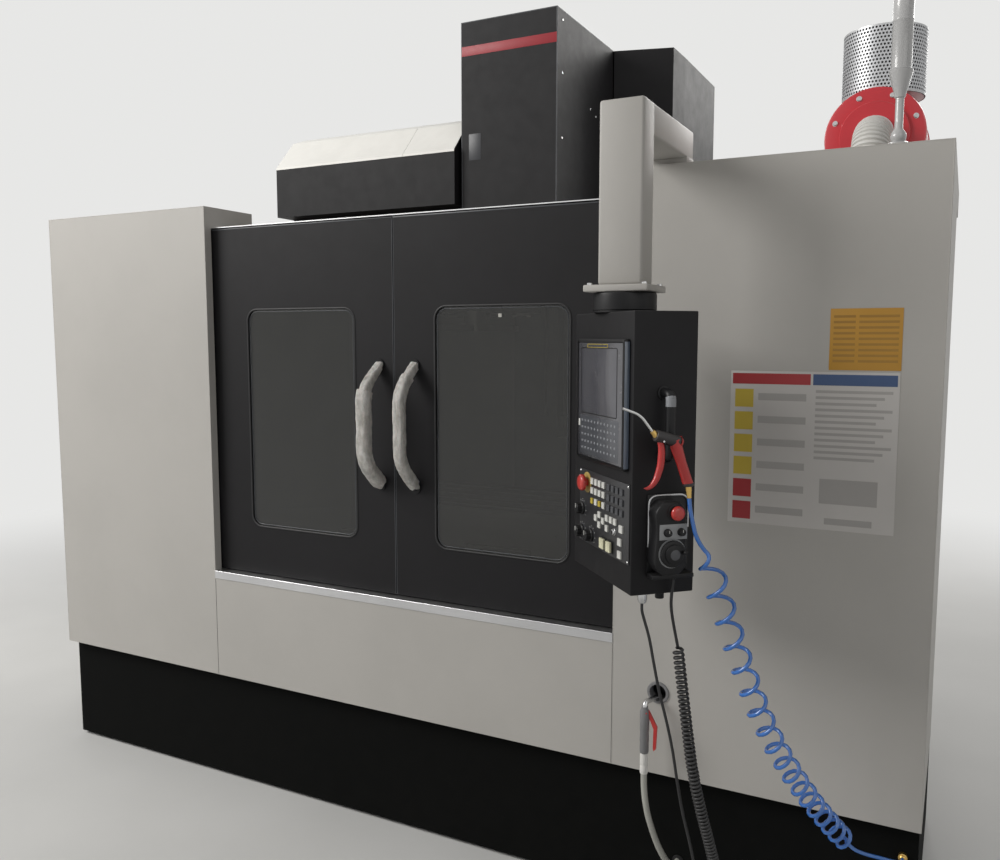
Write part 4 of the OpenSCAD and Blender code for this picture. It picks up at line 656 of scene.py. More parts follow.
def around(middle: float, half: float) -> Span:
    """The span that reaches equally far to both sides of a middle."""
    return (middle - half, middle + half)


def widen(span: Span, by: float) -> Span:
    """A span made longer at both ends."""
    return (span[0] - by, span[1] + by)


def deselect() -> None:
    """Leaves object mode's selection empty."""
    if bpy.context.object is not None and bpy.context.object.mode != "OBJECT":
        bpy.ops.object.mode_set(mode="OBJECT")
    bpy.ops.object.select_all(action="DESELECT")


def focus(obj: bpy.types.Object) -> bpy.types.Object:
    """Makes an object the only selected one, and the active one.

    Args:
        obj: The object.

    Returns:
        The same object.
    """
    deselect()
    obj.select_set(True)
    bpy.context.view_layer.objects.active = obj
    return obj


def linked(name: str, data: bpy.types.ID) -> bpy.types.Object:
    """Puts a new object in the scene and focuses it.

    Args:
        name: The object's name.
        data: Its mesh or curve.

    Returns:
        The object.
    """
    obj = bpy.data.objects.new(name, data)
    bpy.context.scene.collection.objects.link(obj)
    return focus(obj)


def apply_place() -> None:
    """Applies the active object's place, turn and scale to its mesh."""
    bpy.ops.object.transform_apply(location=True, rotation=True, scale=True)


def edit_all() -> None:
    """Enters edit mode with the whole mesh selected."""
    bpy.ops.object.mode_set(mode="EDIT")
    bpy.ops.mesh.select_all(action="SELECT")


def face_outwards() -> None:
    """Turns every face of the edited mesh outwards and leaves edit mode."""
    bpy.ops.mesh.select_all(action="SELECT")
    bpy.ops.mesh.normals_make_consistent(inside=False)
    bpy.ops.object.mode_set(mode="OBJECT")


def move_by(by: Point) -> dict[str, Vector]:
    """How far an extrusion goes, for its operator, from millimetres."""
    return {"value": Vector(by) * MM}


class Work:
    """A piece being modelled, from its first primitive to its place on a body."""

    def __init__(self, obj: bpy.types.Object, name: str) -> None:
        """Names the piece and its mesh.

        Args:
            obj: The piece's object.
            name: The name that both take.
        """
        self.obj = obj
        obj.name = name
        obj.data.name = name

    @classmethod
    def block(cls, name: str, x: Span, y: Span, z: Span) -> "Work":
        """Starts a box.

        Args:
            name: The piece's name.
            x: Its two ends across, in millimetres.
            y: Its two ends in depth, in millimetres.
            z: Its two ends up, in millimetres.

        Returns:
            The started piece.
        """
        deselect()
        a, b = (Vector(corner) * MM for corner in zip(x, y, z))
        bpy.ops.mesh.primitive_cube_add(size=1.0, location=(a + b) / 2)
        bpy.context.object.scale = b - a
        apply_place()
        return cls(bpy.context.object, name)

    @classmethod
    def rod(
            cls, name: str, start: Point, end: Point, radius: float,
            radius_end: float | None = None, sides: int = 40) -> "Work":
        """Starts a round bar or cone between two points.

        Args:
            name: The piece's name.
            start: Centre of the first end, in millimetres.
            end: Centre of the last end, in millimetres.
            radius: Radius at the first end, in millimetres.
            radius_end: Radius at the last end, if it differs.
            sides: Number of sides.

        Returns:
            The started piece.
        """
        deselect()
        a, b = Vector(start) * MM, Vector(end) * MM
        way = b - a
        bpy.ops.mesh.primitive_cone_add(
            vertices=sides, radius1=radius * MM,
            radius2=(radius if radius_end is None else radius_end) * MM, depth=way.length,
            location=(a + b) / 2, rotation=way.to_track_quat("Z", "Y").to_euler())
        apply_place()
        return cls(bpy.context.object, name)

    @classmethod
    def pipe(
            cls, name: str, points: list[Point], radius: float, radii: list[float] | None = None,
            sides: int = 3, closed: bool = False) -> "Work":
        """Starts a round pipe along points, as a mesh.

        Args:
            name: The piece's name.
            points: Centreline, in millimetres.
            radius: Pipe's radius, in millimetres.
            radii: Factor on the radius at each point, if it varies.
            sides: The curve's bevel resolution.
            closed: Whether the line ends where it starts.

        Returns:
            The started piece.
        """
        data = bpy.data.curves.new(name, "CURVE")
        data.dimensions = "3D"
        data.bevel_depth = radius * MM
        data.bevel_resolution = sides
        data.use_fill_caps = True
        spline = data.splines.new("POLY")
        spline.points.add(len(points) - 1)
        for i, p in enumerate(points):
            spline.points[i].co = (*(Vector(p) * MM), 1.0)
            spline.points[i].radius = 1.0 if radii is None else radii[i]
        spline.use_cyclic_u = closed
        linked(name, data)
        bpy.ops.object.convert(target="MESH")
        edit_all()
        face_outwards()
        return cls(bpy.context.object, name)

    @classmethod
    def strip(cls, name: str, line: list[Point], across: Point, thick: float) -> "Work":
        """Sweeps a bent line sideways into a thin sheet.

        Args:
            name: The piece's name.
            line: The bent line, in millimetres.
            across: How far it is swept, in millimetres.
            thick: The sheet's thickness, in millimetres.

        Returns:
            The started piece.
        """
        mesh = bpy.data.meshes.new(name)
        mesh.from_pydata(
            [Vector(p) * MM for p in line], [(i, i + 1) for i in range(len(line) - 1)], [])
        obj = linked(name, mesh)
        edit_all()
        bpy.ops.mesh.extrude_region_move(TRANSFORM_OT_translate=move_by(across))
        face_outwards()
        sheet = obj.modifiers.new("sheet", "SOLIDIFY")
        sheet.thickness = thick * MM
        sheet.offset = 0.0
        bpy.ops.object.modifier_apply(modifier="sheet")
        return cls(obj, name)

    @classmethod
    def turned(
            cls, name: str, centre: Point, axis: Axis, profile: list[tuple[float, float]],
            sides: int = 56) -> "Work":
        """Spins a profile round an axis into a closed shell.

        Args:
            name: The piece's name.
            centre: A point on the axis, in millimetres.
            axis: The axis' direction.
            profile: Radius and distance along the axis at each step, in millimetres.
            sides: Number of steps round the axis.

        Returns:
            The started piece.
        """
        along = Vector(axis.value)
        across = Vector((0.0, 0.0, 1.0)) if abs(along.z) < 0.5 else Vector((1.0, 0.0, 0.0))
        middle = Vector(centre) * MM
        spots = [middle + (across * r + along * h) * MM for r, h in profile]
        closed = profile[0] == profile[-1]
        if closed:
            spots = spots[:-1]
        mesh = bpy.data.meshes.new(name)
        edges = [
            (i, i + 1) for i in range(len(spots) - 1)] + ([(len(spots) - 1, 0)] if closed else [])
        mesh.from_pydata(spots, edges, [])
        obj = linked(name, mesh)
        edit_all()
        bpy.ops.mesh.spin(steps=sides, angle=2.0 * math.pi, center=middle, axis=along)
        bpy.ops.mesh.select_all(action="SELECT")
        bpy.ops.mesh.remove_doubles(threshold=MERGE_DISTANCE)
        face_outwards()
        return cls(obj, name)

    def pick(self, test: Callable[[Vector, Vector], bool]) -> "Work":
        """Selects the faces that pass a test and stays in edit mode.

        Args:
            test: Takes a face's centre, in millimetres, and its normal.

        Returns:
            This piece.
        """
        focus(self.obj)
        bpy.ops.object.mode_set(mode="EDIT")
        bpy.ops.mesh.select_mode(type="FACE")
        bpy.ops.mesh.select_all(action="DESELECT")
        bpy.ops.object.mode_set(mode="OBJECT")
        for face in self.obj.data.polygons:
            face.select = bool(test(face.center / MM, face.normal))
        bpy.ops.object.mode_set(mode="EDIT")
        return self

    def inset(self, width: float, depth: float = 0.0) -> "Work":
        """Insets the picked faces, in millimetres."""
        bpy.ops.mesh.inset(thickness=width * MM, depth=depth * MM)
        return self

    def push(self, by: Point) -> "Work":
        """Extrudes the picked faces by a vector, in millimetres."""
        bpy.ops.mesh.extrude_region_move(TRANSFORM_OT_translate=move_by(by))
        return self

    def slice(self, axis: int, places: list[float]) -> "Work":
        """Cuts the piece across an axis at several places, to give it rings that can be moved.

        Args:
            axis: 0, 1 or 2 for X, Y or Z.
            places: Where the cuts go, in millimetres.

        Returns:
            This piece.
        """
        normal = Vector([1.0 if i == axis else 0.0 for i in range(3)])
        for at in places:
            self.pick(lambda c, n: True)
            bpy.ops.mesh.bisect(plane_co=normal * at * MM, plane_no=normal)
        bpy.ops.object.mode_set(mode="OBJECT")
        return self

    def shape(self, move: Callable[[Vector], Vector]) -> "Work":
        """Moves each vertex by a function of its place.

        Args:
            move: Gives a vertex's new place from its old one, both in millimetres.

        Returns:
            The piece itself.
        """
        deselect()
        for v in self.obj.data.vertices:
            v.co = move(v.co / MM) * MM
        return self

    def round(self, width: float, segments: int = 2, angle: float = CREASE) -> "Work":
        """Rounds the piece's edges with an applied bevel.

        Args:
            width: The bevel's width, in millimetres.
            segments: Its number of segments.
            angle: The least angle that is rounded, in degrees.

        Returns:
            This piece.
        """
        focus(self.obj)
        bevel = self.obj.modifiers.new("round", "BEVEL")
        bevel.width = width * MM
        bevel.segments = segments
        bevel.limit_method = "ANGLE"
        bevel.angle_limit = math.radians(angle)
        bpy.ops.object.modifier_apply(modifier="round")
        return self

    def copies(self, offsets: list[Point]) -> "Work":
        """Repeats the piece at each offset and joins the copies into one mesh.

        Args:
            offsets: Where each copy goes from the first, in millimetres.

        Returns:
            This piece, with all its copies.
        """
        name = self.obj.name
        made = [self.obj]
        for by in offsets:
            twin = self.obj.copy()
            twin.data = self.obj.data.copy()
            bpy.context.scene.collection.objects.link(twin)
            twin.location = Vector(by) * MM
            made.append(twin)
        return self.join([Work(o, name) for o in made[1:]])

    @classmethod
    def merged(cls, name: str, pieces: list["Work"]) -> "Work":
        """Joins several pieces into one with a new name."""
        return cls(pieces[0].join(pieces[1:]).obj, name)

    def join(self, others: list["Work"]) -> "Work":
        """Joins other pieces into this one's mesh.

        Args:
            others: The pieces, which are used up.

        Returns:
            The piece itself.
        """
        focus(self.obj)
        for piece in others:
            piece.obj.select_set(True)
        bpy.ops.object.join()
        apply_place()
        return self

    def seat(
            self, body: str | None, slot: str, finish: Finish, place: Place | None = None,
            replaces: tuple[str, ...] = (), angle: float = CREASE) -> "Work":
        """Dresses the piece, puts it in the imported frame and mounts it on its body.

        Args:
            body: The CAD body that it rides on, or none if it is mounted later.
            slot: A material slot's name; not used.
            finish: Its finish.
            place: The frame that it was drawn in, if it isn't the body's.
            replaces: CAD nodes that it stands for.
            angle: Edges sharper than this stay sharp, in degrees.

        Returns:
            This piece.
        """
        focus(self.obj)
        self.obj.matrix_world = (place or Place.of(body)).matrix() @ self.obj.matrix_world
        apply_place()
        bpy.ops.object.shade_smooth_by_angle(angle=math.radians(angle))
        self.obj.data.materials.clear()
        self.obj.data.materials.append(finish.material())
        if replaces:
            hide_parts(*replaces)
        if body:
            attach(self.obj, body)
        return self


# Camera, floor and lamps


@dataclass
class Studio:
    """Camera at the photograph's angle, pale floor and soft lamps."""

    camera_at: Point = (1596.3, -2333.1, 1608.2)
    tilt: float = 84.184
    yaw: float = 27.268
    focal: float = 900.06
    frame_width: int = 1000
    sensor: float = 36.0
    clip: Span = (0.05, 100.0)
    lamp_colour: Colour = (1.0, 0.985, 0.96)
    backdrop: Colour = (0.80, 0.80, 0.79)
    world_strength: float = 0.21
    floor_fade: Span = (2.4, 6.5)

    def build(self) -> None:
        """Makes the camera, floor, world and lamps."""
        self.camera()
        self.floor()
        self.world()
        self.lamps()

    def camera(self) -> None:
        """Puts the camera where the photograph was taken."""
        data = bpy.data.cameras.new("camera")
        data.sensor_width = self.sensor
        data.lens = self.focal / self.frame_width * self.sensor
        data.clip_start, data.clip_end = self.clip
        obj = bpy.data.objects.new("camera", data)
        bpy.context.scene.collection.objects.link(obj)
        obj.location = Place.MACHINE.point(self.camera_at)
        obj.rotation_euler = (math.radians(self.tilt), 0.0, math.radians(self.yaw))
        bpy.context.scene.camera = obj
        bpy.context.scene.view_settings.view_transform = "Standard"

    def floor(self) -> None:
        """Lays a plain pale floor."""
        deselect()
        bpy.ops.mesh.primitive_plane_add(size=60.0, location=(0.0, 0.0, -0.0005))
        obj = bpy.context.object
        obj.name = "floor"
        made = bpy.data.materials.new("floor")
        made.use_nodes = True
        w = Wiring(made.node_tree)
        shader = made.node_tree.nodes["Principled BSDF"]
        place = w.node("TexCoord")
        tone = w.ramp(w.noise(place.outputs["Object"], 1.2, 4.0), 0.2, 0.8)
        w.feed(w.mix(tone, (0.60, 0.60, 0.59), (0.66, 0.66, 0.65)), shader.inputs["Base Color"])
        shader.inputs["Roughness"].default_value = 0.7
        self.fade(w, made.node_tree, shader, place)
        obj.data.materials.append(made)

    def fade(self, w: Wiring, tree: Tree, shader: Node, place: Node) -> None:
        """Lets the floor run into the backdrop away from the object, for sight and mirrors only.

        Args:
            w: The floor's wiring.
            tree: Its node tree.
            shader: Its Principled node.
            place: Its coordinates' node.
        """
        far = w.node("VectorMath", operation="LENGTH")
        w.feed(place.outputs["Object"], far.inputs[0])
        glow = w.node("Emission")
        glow.inputs[0].default_value = (*self.backdrop, 1.0)
        mix = w.node("MixShader")
        faded = w.ramp(far.outputs["Value"], *self.floor_fade)
        w.feed(w.times(faded, w.seen_directly()), mix.inputs[0])
        w.feed(shader.outputs[0], mix.inputs[1])
        w.feed(glow.outputs[0], mix.inputs[2])
        w.feed(mix.outputs[0], tree.nodes["Material Output"].inputs[0])

    def world(self) -> None:
        """Gives a plain pale backdrop without adding light to the object."""
        world = bpy.data.worlds.new("studio")
        bpy.context.scene.world = world
        world.use_nodes = True
        tree = world.node_tree
        tree.nodes.clear()
        w = Wiring(tree)
        seen = w.node("Background")
        seen.inputs[0].default_value = (*self.backdrop, 1.0)
        seen.inputs[1].default_value = 1.0
        light = w.node("Background")
        light.inputs[0].default_value = (1.0, 0.99, 0.97, 1.0)
        light.inputs[1].default_value = self.world_strength
        mix = w.node("MixShader")
        w.feed(w.seen_directly(), mix.inputs[0])
        w.feed(light.outputs[0], mix.inputs[1])
        w.feed(seen.outputs[0], mix.inputs[2])
        w.feed(mix.outputs[0], w.node("OutputWorld").inputs[0])

    def lamp(self, name: str, at: Point, aim: Point, size: float, watts: float) -> None:
        """Adds one soft square lamp.

        Args:
            name: The lamp's name.
            at: Its place, in metres.
            aim: The point that it faces, in metres.
            size: Its side, in metres.
            watts: Its power.
        """
        data = bpy.data.lights.new(name, "AREA")
        data.energy = watts
        data.size = size
        data.color = self.lamp_colour
        obj = bpy.data.objects.new(name, data)
        bpy.context.scene.collection.objects.link(obj)
        obj.location = at
        obj.rotation_euler = (Vector(at) - Vector(aim)).to_track_quat("Z", "Y").to_euler()

    def lamps(self) -> None:
        """Adds the key, fill and rear lamps."""
        self.lamp("key", (-4.6, -4.4, 4.9), aim=(-0.4, 0.0, 1.3), size=3.2, watts=390.0)
        self.lamp("fill", (4.6, -4.4, 3.6), aim=(0.3, -0.5, 1.2), size=3.5, watts=32.0)
        self.lamp("rear", (1.5, 5.0, 5.0), aim=(0.0, 0.5, 1.4), size=3.5, watts=190.0)


# Cords and hoses


@dataclass
class Hose:
    """One free hose or cord that follows the solids' route."""

    name: str
    diameter: float
    finish: Finish
    slot: str
    body: str
    nodes: tuple[str, ...] = ()
    stiffness: str = "medium"
    lay: str = "hanging"
    least_step: float = 2.5
    line: list[Vector] = field(default_factory=list)

    def smooth(self, route: list[Point], step: float = 12.0) -> None:
        """Appends a smooth line through a route's points.

        Args:
            route: Points of the route, in millimetres.
            step: Greatest distance between the line's points, in millimetres.
        """
        pts = [Vector(p) for p in route]
        for i in range(len(pts) - 1):
            p0, p1, p2 = pts[max(i - 1, 0)], pts[i], pts[i + 1]
            p3 = pts[min(i + 2, len(pts) - 1)]
            n = max(2, math.ceil((p2 - p1).length / step))
            for k in range(n):
                t = k / n
                spot = 0.5 * ((2 * p1) + (p2 - p0) * t + (2 * p0 - 5 * p1 + 4 * p2 - p3) * t * t
                              + (3 * p1 - p0 - 3 * p2 + p3) * t ** 3)
                self.add(spot)
        self.add(pts[-1])

    def add(self, spot: Vector) -> None:
        """Adds a point if it isn't on the last one."""
        if not self.line or (spot - self.line[-1]).length > self.least_step:
            self.line.append(spot)

    def helix(
            self, route: list[Point], radius: float, turns: float, radius_end: float | None = None,
            tighten: float = 0.0, start: float = 0.0, per_turn: int = 14,
            ease: float = 0.6) -> None:
        """Appends turns wound round a route.

        Args:
            route: The winding's axis, in millimetres.
            radius: Radius of the winding's line, in millimetres.
            turns: Number of turns.
            radius_end: Radius at the winding's end, if it differs.
            tighten: Share by which the turns' spacing is wider at first and closer at the end.
            start: Angle at which the winding starts, in degrees.
            per_turn: Number of points in each turn.
            ease: Part of a turn over which the radius grows from the axis at each end.
        """
        axis = [Vector(p) for p in route]
        steps = [0.0]
        for a, b in zip(axis, axis[1:]):
            steps.append(steps[-1] + (b - a).length)
        count = math.ceil(turns * per_turn)
        side = None
        for i in range(count + 1):
            share = i / count
            at = (share + tighten * share * (1.0 - share)) * steps[-1]
            j = max(k for k in range(len(steps) - 1) if steps[k] <= at + 1e-9)
            t = (at - steps[j]) / (steps[j + 1] - steps[j])
            way = (axis[j + 1] - axis[j]).normalized()
            side = way.orthogonal() if side is None else side
            side = (side - way * side.dot(way)).normalized()
            turn = math.radians(start) + 2 * math.pi * turns * share
            grow = min(1.0, share * turns / ease, (1 - share) * turns / ease)
            out = side * math.cos(turn) + way.cross(side) * math.sin(turn)
            wide = radius + ((radius if radius_end is None else radius_end) - radius) * share
            self.add(axis[j].lerp(axis[j + 1], t) + out * wide * grow)

    def build(self, blend: tuple[str, str, Vector, Vector] | None = None) -> None:
        """Args:
            blend: Two bodies and two points; when given, the run is mounted on no body and its
                place is baked into its mesh.
        """
        work = Work.pipe(self.name, [tuple(p) for p in self.line], self.diameter / 2, sides=2)
        work.seat(
            None if blend else self.body, self.slot, self.finish, Place.MACHINE, self.nodes, SMOOTH)
        if blend:
            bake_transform(work.obj)
        path = [Place.MACHINE.point(tuple(p)) for p in self.line]
        length = sum((b - a).length for a, b in zip(path, path[1:]))
        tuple(path[0])
        LOG.info("%s: %.2f m long", self.name, length)


@dataclass
class Hoses:
    """The air hose, the handwheel's cord and the wash hose, on the solids' routes."""

    air_top: tuple[Point, ...] = (
        (1081.4, -443.8, 1265.3), (1084, -443, 1240), (1090, -441, 1210), (1096, -438, 1185),
        (1104, -432, 1165), (1113.3, -424.5, 1149.1))
    air_coil: tuple[Point, ...] = (
        (1114, -424, 1148), (1128, -408, 1092), (1146, -387, 1020), (1166, -364, 940),
        (1190, -336, 850), (1216, -306, 760), (1248, -269, 670), (1286, -225, 584),
        (1326, -178, 504), (1366, -132, 434), (1394, -100, 388))
    air_tail: tuple[Point, ...] = (
        (1394.3, -99.7, 387.6), (1412, -78, 362), (1436, -50, 342), (1464, -26, 328),
        (1491, -10, 318), (1508, 1, 313), (1514.6, 11, 312), (1515, 19.6, 312))
    air_blend: tuple[Point, Point] = ((1081.3, -443.8, 1266.0), (1394.0, -100.0, 388.0))
    pulse_lead: tuple[Point, ...] = (
        (1045.1, -423.6, 1077.2), (1041, -421, 1050), (1037, -413, 1020), (1036, -401, 990),
        (1037, -388, 960), (1039, -377, 932), (1041.9, -369.3, 906))
    pulse_coil: tuple[Point, ...] = (
        (1042, -369, 905), (1048, -365, 850), (1056, -361, 780), (1064, -356, 710),
        (1074, -351, 630), (1086, -345, 560), (1099, -339, 500), (1112, -332, 445),
        (1124, -326, 395), (1130, -323, 352))
    pulse_return: tuple[Point, ...] = (
        (1130, -323, 351.3), (1131, -322, 320), (1122, -324, 296), (1106, -328, 288),
        (1092, -331, 300), (1085, -333, 330), (1080, -334, 380), (1070, -338, 430),
        (1054, -344, 500), (1042, -349, 570), (1030, -354, 650), (1016, -360, 720),
        (1000, -368, 790), (988, -376, 860), (978, -382, 920), (968, -387, 960),
        (962, -390, 985), (962, -390, 1004))
    wash: tuple[Point, ...] = (
        (867, -60, 424.4), (868, -60, 390), (872, -60, 350), (880, -60, 310), (892, -58, 270),
        (906, -54, 230), (920, -46, 196), (932, -32, 168), (938, -12, 150), (940, 12, 141),
        (940, 24, 140), (940, 33.6, 140))

    def build(self) -> None:
        """Makes the three runs."""
        air = Hose(
            "air_hose_run", 9.5, Finishes.AIR_BLUE, "hose_blue", "pendant", nodes=("air_hose",),
            lay="coiled")
        air.smooth(list(self.air_top))
        air.helix(
            list(self.air_coil), radius=25.2, turns=18.0, radius_end=23.0, tighten=0.48,
            start=200.0)
        air.smooth(list(self.air_tail))
        start, end = (Place.MACHINE.point(p) for p in self.air_blend)
        air.build(blend=("pendant", "root", start, end))
        cord = Hose("handwheel_cord", 7.0, Finishes.CORD, "cord_black", "pendant",
                    nodes=("pulse_cord", "pulse_cord_coil"), lay="coiled")
        cord.smooth(list(self.pulse_lead))
        cord.helix(list(self.pulse_coil), radius=10.4, turns=58.0, tighten=0.26, per_turn=12)
        cord.smooth(list(self.pulse_return))
        cord.build()
        wash = Hose(
            "wash_hose_run", 18.0, Finishes.WATER, "hose_clear", "root", nodes=("wash_hose",))
        wash.smooth(list(self.wash))
        wash.build()


def rounded(corners: list[Point], radius: float, steps: int = 6) -> list[Point]:
    """Rounds a line's inner corners with arcs.

    Args:
        corners: The line's points, in millimetres.
        radius: Length that each arc takes from its two sides.
        steps: Number of steps in each arc.

    Returns:
        The rounded line's points.
    """
    pts = [Vector(p) for p in corners]
    line = [pts[0]]
    for before, corner, after in zip(pts, pts[1:], pts[2:]):
        a = corner + (before - corner).normalized() * radius
        b = corner + (after - corner).normalized() * radius
        for i in range(steps + 1):
            t = i / steps
            line.append(a * (1 - t) ** 2 + corner * 2 * t * (1 - t) + b * t * t)
    line.append(pts[-1])
    return [tuple(p) for p in line]


def evenly(line: list[Point], step: float) -> list[Point]:
    """Points at even distances along a line.

    Args:
        line: The line's points, in millimetres.
        step: Distance between the new points.

    Returns:
        The new points.
    """
    pts = [Vector(p) for p in line]
    total = sum((b - a).length for a, b in zip(pts, pts[1:]))
    count = max(2, round(total / step))
    found, i, done = [], 0, 0.0
    for k in range(count + 1):
        want = total * k / count
        while i < len(pts) - 2 and done + (pts[i + 1] - pts[i]).length < want - 1e-9:
            done += (pts[i + 1] - pts[i]).length
            i += 1
        span = (pts[i + 1] - pts[i]).length
        found.append(tuple(pts[i].lerp(pts[i + 1], min(1.0, (want - done) / span))))
    return found


def outline(x: Span, z: Span, y: float, radius: float, steps: int = 6) -> list[Point]:
    """A rectangle's outline with round corners, in a plane across Y.

    Args:
        x: Its two ends across.
        z: Its two ends up.
        y: The plane's place.
        radius: Radius of its corners.
        steps: Number of steps in each corner.

    Returns:
        The outline's points, in millimetres.
    """
    line = []
    for cx, cz, start in ((x[1] - radius, z[1] - radius, 0), (x[0] + radius, z[1] - radius, 90),
                          (x[0] + radius, z[0] + radius, 180), (x[1] - radius, z[0] + radius, 270)):
        for i in range(steps + 1):
            turn = math.radians(start + 90 * i / steps)
            line.append((cx + radius * math.cos(turn), y, cz + radius * math.sin(turn)))
    return line


BUTTON_HEAD = [(0, 5), (5, 5), (6.5, 3.6), (6.5, 0), (0, 0)]  # Profile of a 13 mm screw head


@dataclass
class DoorHandles:
    """Bent bar handles, each packed in two overlapping lengths of foam."""

    left_x: float = -54.0
    right_x: float = 78.0
    door_y: float = 36.0
    grip_y: float = -54.0
    top_z: float = 1525.0
    grip_top: float = 1450.0
    grip_low: float = 1225.0
    low_z: float = 1140.0
    bar_radius: float = 14.0
    bend: float = 46.0
    step: float = 6.0
    lap_at: float = 0.35
    waves: tuple[tuple[float, float, float, float], ...] = (
        (1.0, 3, 0.021, 1), (0.9, 5, -0.047, 2), (0.7, 2, 0.09, 1), (0.5, 1, 0.23, 3))

    def route(self, x: float) -> list[Point]:
        """Draws the bar's centreline.

        Args:
            x: The bar's place across the machine.

        Returns:
            Points a step apart along it.
        """
        corners = [(x, self.door_y, self.top_z), (x, self.grip_y, self.grip_top),
                   (x, self.grip_y, self.grip_low), (x, self.door_y, self.low_z)]
        return evenly(rounded(corners, self.bend), self.step)

    def sleeve(
            self, name: str, line: list[Point], radii: Span, flap: float, torn: Span,
            phase: float) -> Work:
        """One length of foam round the bar, with a lapped seam and torn ends.

        Args:
            name: The piece's name.
            line: Its centreline, in millimetres.
            radii: Its radius at the first and last end.
            flap: How far its lapped seam stands out.
            torn: How far the first and last end are torn.
            phase: Shifts its folds from those of the other pieces.

        Returns:
            The sleeve.
        """
        n = len(line) - 1
        work = Work.pipe(
            name, line, 1, [radii[0] + (radii[1] - radii[0]) * i / n for i in range(n + 1)],
            sides=8)
        pts = [Vector(p) for p in line]

        def fold(v: Vector) -> Vector:
            """Lifts and sinks a vertex of the foam along its waves and torn ends.

            Args:
                v: The vertex's place, in millimetres.

            Returns:
                The new place.
            """
            k = min(range(n + 1), key=lambda i: (pts[i] - v).length_squared)
            way = (pts[min(k + 1, n)] - pts[max(k - 1, 0)]).normalized()
            out = v - pts[k]
            out = out - way * out.dot(way)
            if out.length < 0.5:
                return v
            depth = way.cross(Vector((1, 0, 0)))
            turn = math.atan2(out.dot(depth), out.x)
            s = k * self.step
            square = 1 / (abs(math.cos(turn)) ** 5 + abs(math.sin(turn)) ** 5) ** 0.2 - 1
            lump = out.length * square
            lump += 0.6 * sum(high * math.sin(round_bar * turn + along * s + shift * phase)
                              for high, round_bar, along, shift in self.waves)
            near = math.atan2(math.sin(turn - self.lap_at), math.cos(turn - self.lap_at))
            lump += flap * math.exp(-(near / 0.42) ** 2)
            lump -= 0.45 * flap * math.exp(-((near + 0.75) / 0.3) ** 2)
            move = out.normalized() * lump
            if k < 2:
                move -= way * torn[0] * (0.5 + 0.5 * math.sin(3 * turn + phase)) * (2 - k) / 2
            if k > n - 2:
                move += way * torn[1] * (
                    0.5 + 0.5 * math.sin(4 * turn + phase * 2)) * (k - n + 2) / 2
            return v + move

        return work.shape(fold)

    def one(
            self, side: str, x: float, inner: Span, outer: Span, flap: float, start: int,
            phase: float) -> None:
        """Builds one door's handle.

        Args:
            side: The door's side, "left" or "right".
            x: The handle's distance from the seam.
            inner: Radii of the inner sleeve's ends.
            outer: Radii of the outer sleeve's ends.
            flap: How far the outer sleeve's seam stands out.
            start: Point of the route where the outer sleeve starts.
            phase: Shifts the folds.
        """
        body, line = f"{side}_door", self.route(x)
        bar = Work.pipe(f"{side}_handle_bar", line, self.bar_radius * 0.86, sides=5)
        ends = [
            Work.rod("foot", (x, self.door_y - 5, z), (x, self.door_y, z), self.bar_radius + 4)
            for z in (self.top_z, self.low_z)]
        bar.join(ends).seat(body, "foam_wrap", Finishes.PLASTIC, replaces=(f"{side}_handle",))
        under = self.sleeve(
            f"{side}_handle_inner_foam", line[:start + 4], inner, flap=1.2, torn=(1, 2),
            phase=phase)
        over = self.sleeve(
            f"{side}_handle_outer_foam", line[start:-3], outer, flap=flap, torn=(5, 13),
            phase=phase + 1.3)
        for piece in (under, over):
            piece.seat(body, "foam_wrap", Finishes.FOAM, angle=75)

    def build(self) -> None:
        """Builds both handles."""
        self.one(
            "left", self.left_x, inner=(13, 17), outer=(21.6, 20.4), flap=4.5, start=20, phase=0.4)
        self.one(
            "right", self.right_x, inner=(13, 15.5), outer=(17.4, 16.6), flap=1.2, start=10,
            phase=2.1)


@dataclass
class DoorTrim:
    """Window gaskets, seam lips and edge beads of the sliding doors, the lips and beads lighter
    than the door paint as a painted highlight.
    """

    front_y: float = 36.0
    window_x: Span = (150.0, 600.0)
    window_z: Span = (955.0, 1706.0)
    corner: float = 40.0
    door_x: Span = (1.5, 748.0)
    door_z: Span = (786.0, 1984.0)
    bead: float = 3.4
    pane_gap: float = 8.0

    def build(self) -> None:
        """Builds the trim of both doors."""
        front, top = self.front_y, self.door_z[1]
        for sign, body in ((-1, "left_door"), (1, "right_door")):
            x = tuple(sorted(sign * end for end in self.window_x))
            line = outline(x, self.window_z, front + 0.6, self.corner)
            ring = Work.pipe(f"{body}_gasket", line, self.bead, sides=3, closed=True)
            ring.seat(body, "black_plastic", Finishes.RUBBER, angle=SMOOTH)
            inner = outline(
                widen(x, -self.pane_gap), widen(self.window_z, -self.pane_gap), front + 3.4,
                self.corner - self.pane_gap)
            # Bead round the pane, lighter than the door: a painted highlight on the window's
            # chamfer.
            bead = Work.pipe(f"{body}_pane_bead", inner, 1.6, sides=2, closed=True)
            bead.seat(body, "black_plastic", Finishes.EDGE, angle=SMOOTH)
            seam = (sign * (self.door_x[0] + 1.1), front + 1)
            # Fold along the door's seam, lighter than the door paint: a painted highlight.
            fold = Work.rod(
                f"{body}_seam_fold", (*seam, self.door_z[0] + 1), (*seam, top - 1), 1.5, sides=12)
            fold.seat(body, "charcoal_paint", Finishes.EDGE, angle=SMOOTH)
            lip_x = sorted(sign * end for end in self.door_x)
            # Bead along the door's top edge, lighter than the door paint: a painted highlight.
            lip = Work.block(f"{body}_top_bead", lip_x, (front - 1.2, front), (top - 5, top - 1))
            lip.round(0.5).seat(body, "charcoal_paint", Finishes.EDGE)


